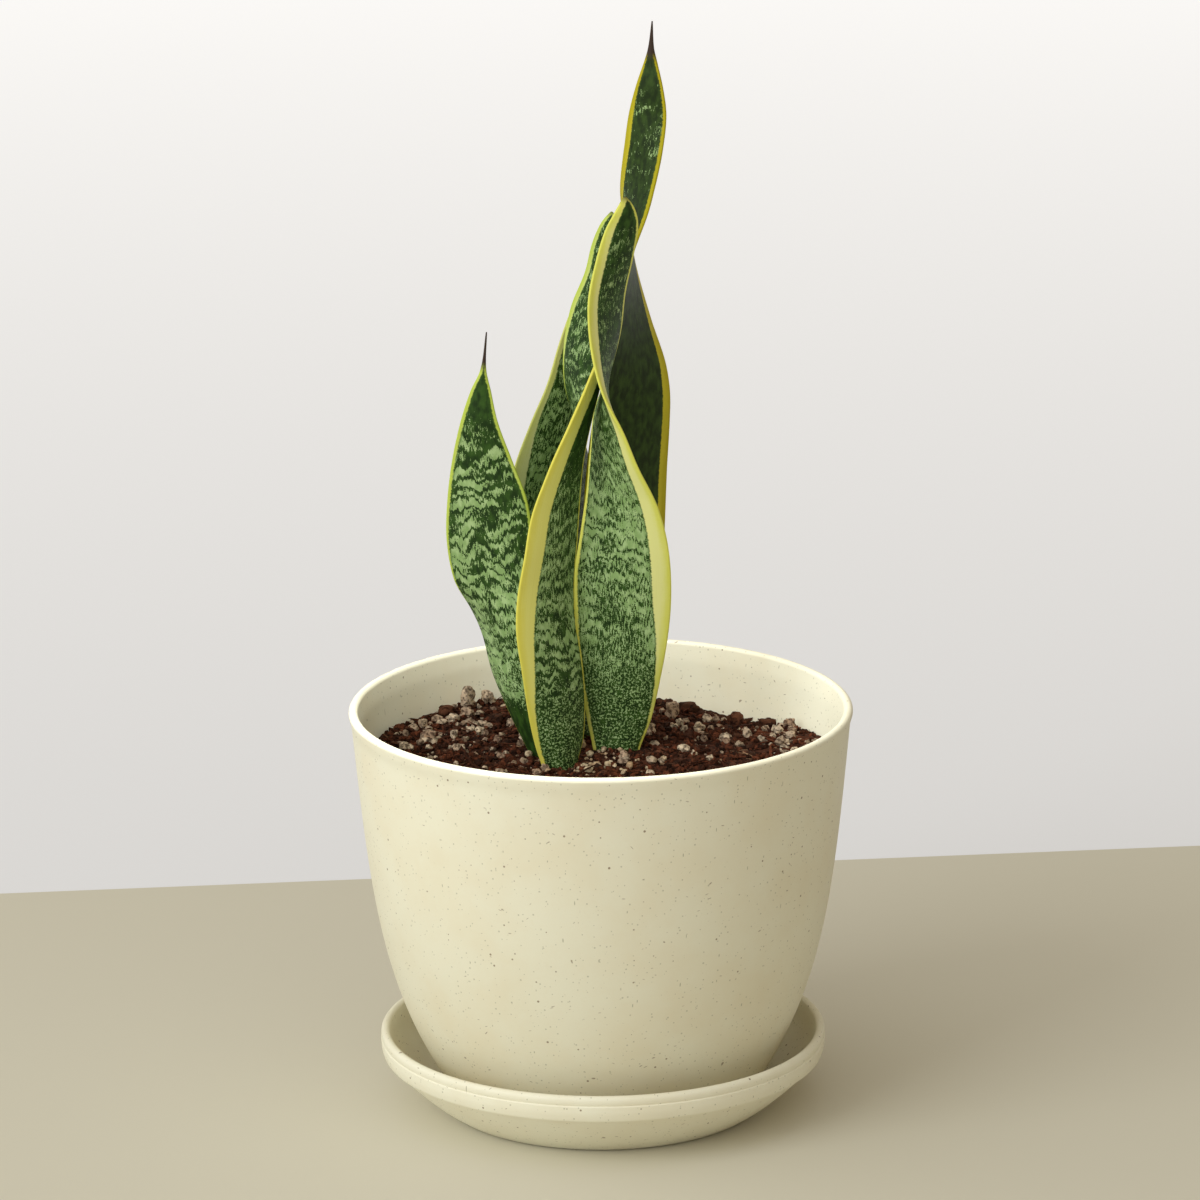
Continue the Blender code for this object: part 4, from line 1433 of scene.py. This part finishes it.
@dataclass
class Studio:
    """A pale floor with a stone-coloured sheet on it, soft light from the left, and the camera."""

    camera_place: tuple[float, float, float] = (0.0, -2.1298, 0.7624)
    tip_down: float = 15.64  # degrees
    roll: float = -0.40
    lens: float = 210.0
    sensor: float = 36.0
    sheet: StudioFinish = StudioFinish((0.675, 0.645, 0.53))
    sheet_size: float = 3.0
    sheet_depth: float = 0.2 * MM
    sheet_edge: float = 0.239  # where the sheet ends behind the object
    sheet_turn: float = 6.14  # degrees
    floor: StudioFinish = StudioFinish((0.56, 0.56, 0.57), 0.25, 0.60)
    floor_size: float = 14.0
    floor_depth: float = 1.0 * MM
    light_place: tuple[float, float, float] = (-1.72, -1.50, 1.35)
    light_size: float = 1.5
    light_power: float = 25.0
    light_aim: tuple[float, float, float] = (0.0, 0.0, 0.12)
    window: Colour = (-0.64, -0.55, 0.53)  # towards the brightest side of the room
    window_colour: Colour = (0.95, 0.985, 1.0)
    window_glow: float = 0.80
    window_reach: float = -0.15  # how far round the room it shows: the cosine where it ends
    room_colour: Colour = (1.0, 0.82, 0.58)
    room_glow: float = 0.29

    def ground(self, name: str, finish: StudioFinish, size: float, place: Vector, turn: float) -> None:
        """Lay a flat square on the floor.

        Args:
            name: Name for the square.
            finish: Its finish.
            size: Length of its sides.
            place: Its middle.
            turn: Its turn about the vertical, in degrees.
        """
        deselect_all()
        bpy.ops.mesh.primitive_plane_add(size=size, location=place, rotation=(0, 0, math.radians(turn)))
        ground = named(name)
        bpy.ops.object.transform_apply(location=True, rotation=True, scale=True)
        ground.data.materials.append(finish.material(name))

    def room(self) -> bpy.types.World:
        """Return the room's soft light, broadly brighter on its window side."""
        world = bpy.data.worlds.new("studio room")
        world.use_nodes = True
        nodes = Nodes(world.node_tree)
        background = world.node_tree.nodes["Background"]
        nodes.feed(background.inputs["Color"], self.room_colour)
        nodes.feed(background.inputs["Strength"], self.room_glow)
        towards = nodes.add("TexCoord", {}, "Generated")[0]
        window = {0: towards, 1: Vector(self.window).normalized()}
        facing = nodes.add("VectorMath", window, "Value", operation="DOT_PRODUCT")[0]
        lobe = nodes.add("MapRange", {"Value": facing, "From Min": self.window_reach}, "Result")[0]
        glow = {"Color": self.window_colour, "Strength": lobe * self.window_glow}
        lights = [Value(nodes, background.outputs[0]), *nodes.add("Background", glow, 0)]
        both = nodes.add("AddShader", dict(enumerate(lights)), 0)[0]
        nodes.feed(world.node_tree.nodes["World Output"].inputs["Surface"], both)
        return world

    def build(self) -> None:
        """Lay the floor, hang the light and set up the camera."""
        turn = math.radians(self.sheet_turn)
        back = Vector((math.sin(turn), -math.cos(turn), 0.0)) * (self.sheet_size / 2)
        middle = Vector((0.0, self.sheet_edge, -self.sheet_depth)) + back
        self.ground("floor_sheet", self.sheet, self.sheet_size, middle, self.sheet_turn)
        under = Vector((0.0, 0.0, -self.floor_depth))
        self.ground("pale_floor", self.floor, self.floor_size, under, 0.0)
        light = area_light(
            "window light", self.light_place, self.light_size, self.light_power, self.window_colour
        )
        aim = Vector(self.light_aim) - Vector(self.light_place)
        light.rotation_mode = "QUATERNION"
        light.rotation_quaternion = aim.to_track_quat("-Z", "Y")
        bpy.context.scene.world = self.room()
        bpy.context.scene.view_settings.view_transform = "Standard"
        data = bpy.data.cameras.new("camera")
        data.lens, data.sensor_width = self.lens, self.sensor
        camera = placed("camera", data)
        tip = Matrix.Rotation(math.radians(90 - self.tip_down), 4, "X")
        roll = Matrix.Rotation(math.radians(self.roll), 4, "Z")
        camera.matrix_world = Matrix.Translation(self.camera_place) @ tip @ roll
        bpy.context.scene.camera = camera


@dataclass
class MouthLight:
    """A small soft light over the pot's mouth, linked so that it lights the pot alone."""

    place: tuple[float, float, float] = (-0.100, -0.060, 0.40)
    size: float = 0.14
    power: float = 1.15
    colour: Colour = (1.0, 0.99, 0.95)

    def build(self, pot: bpy.types.Object) -> None:
        """Hang the light.

        Args:
            pot: The one piece that it lights, and the only one that can shade it.
        """
        light = area_light("mouth light", self.place, self.size, self.power, self.colour)
        lit = bpy.data.collections.new("lit by the mouth light")
        lit.objects.link(pot)
        light.light_linking.receiver_collection = lit
        light.light_linking.blocker_collection = lit


def main() -> None:
    """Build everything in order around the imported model."""
    logging.basicConfig(level=logging.INFO, format="%(name)s: %(message)s")
    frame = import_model()
    Studio().build()
    pot = Pot()
    MouthLight().build(pot.build())
    Saucer().build()
    bed = SoilBed(pot)
    bed.build()
    Rhizome().dress(frame["nodes"])
    for leaf in LEAVES:
        leaf.build()
    LooseGrains().build()
    for scatter in SCATTERS:
        scatter.build(bed, LEAVES)


if __name__ == "__main__":
    main()
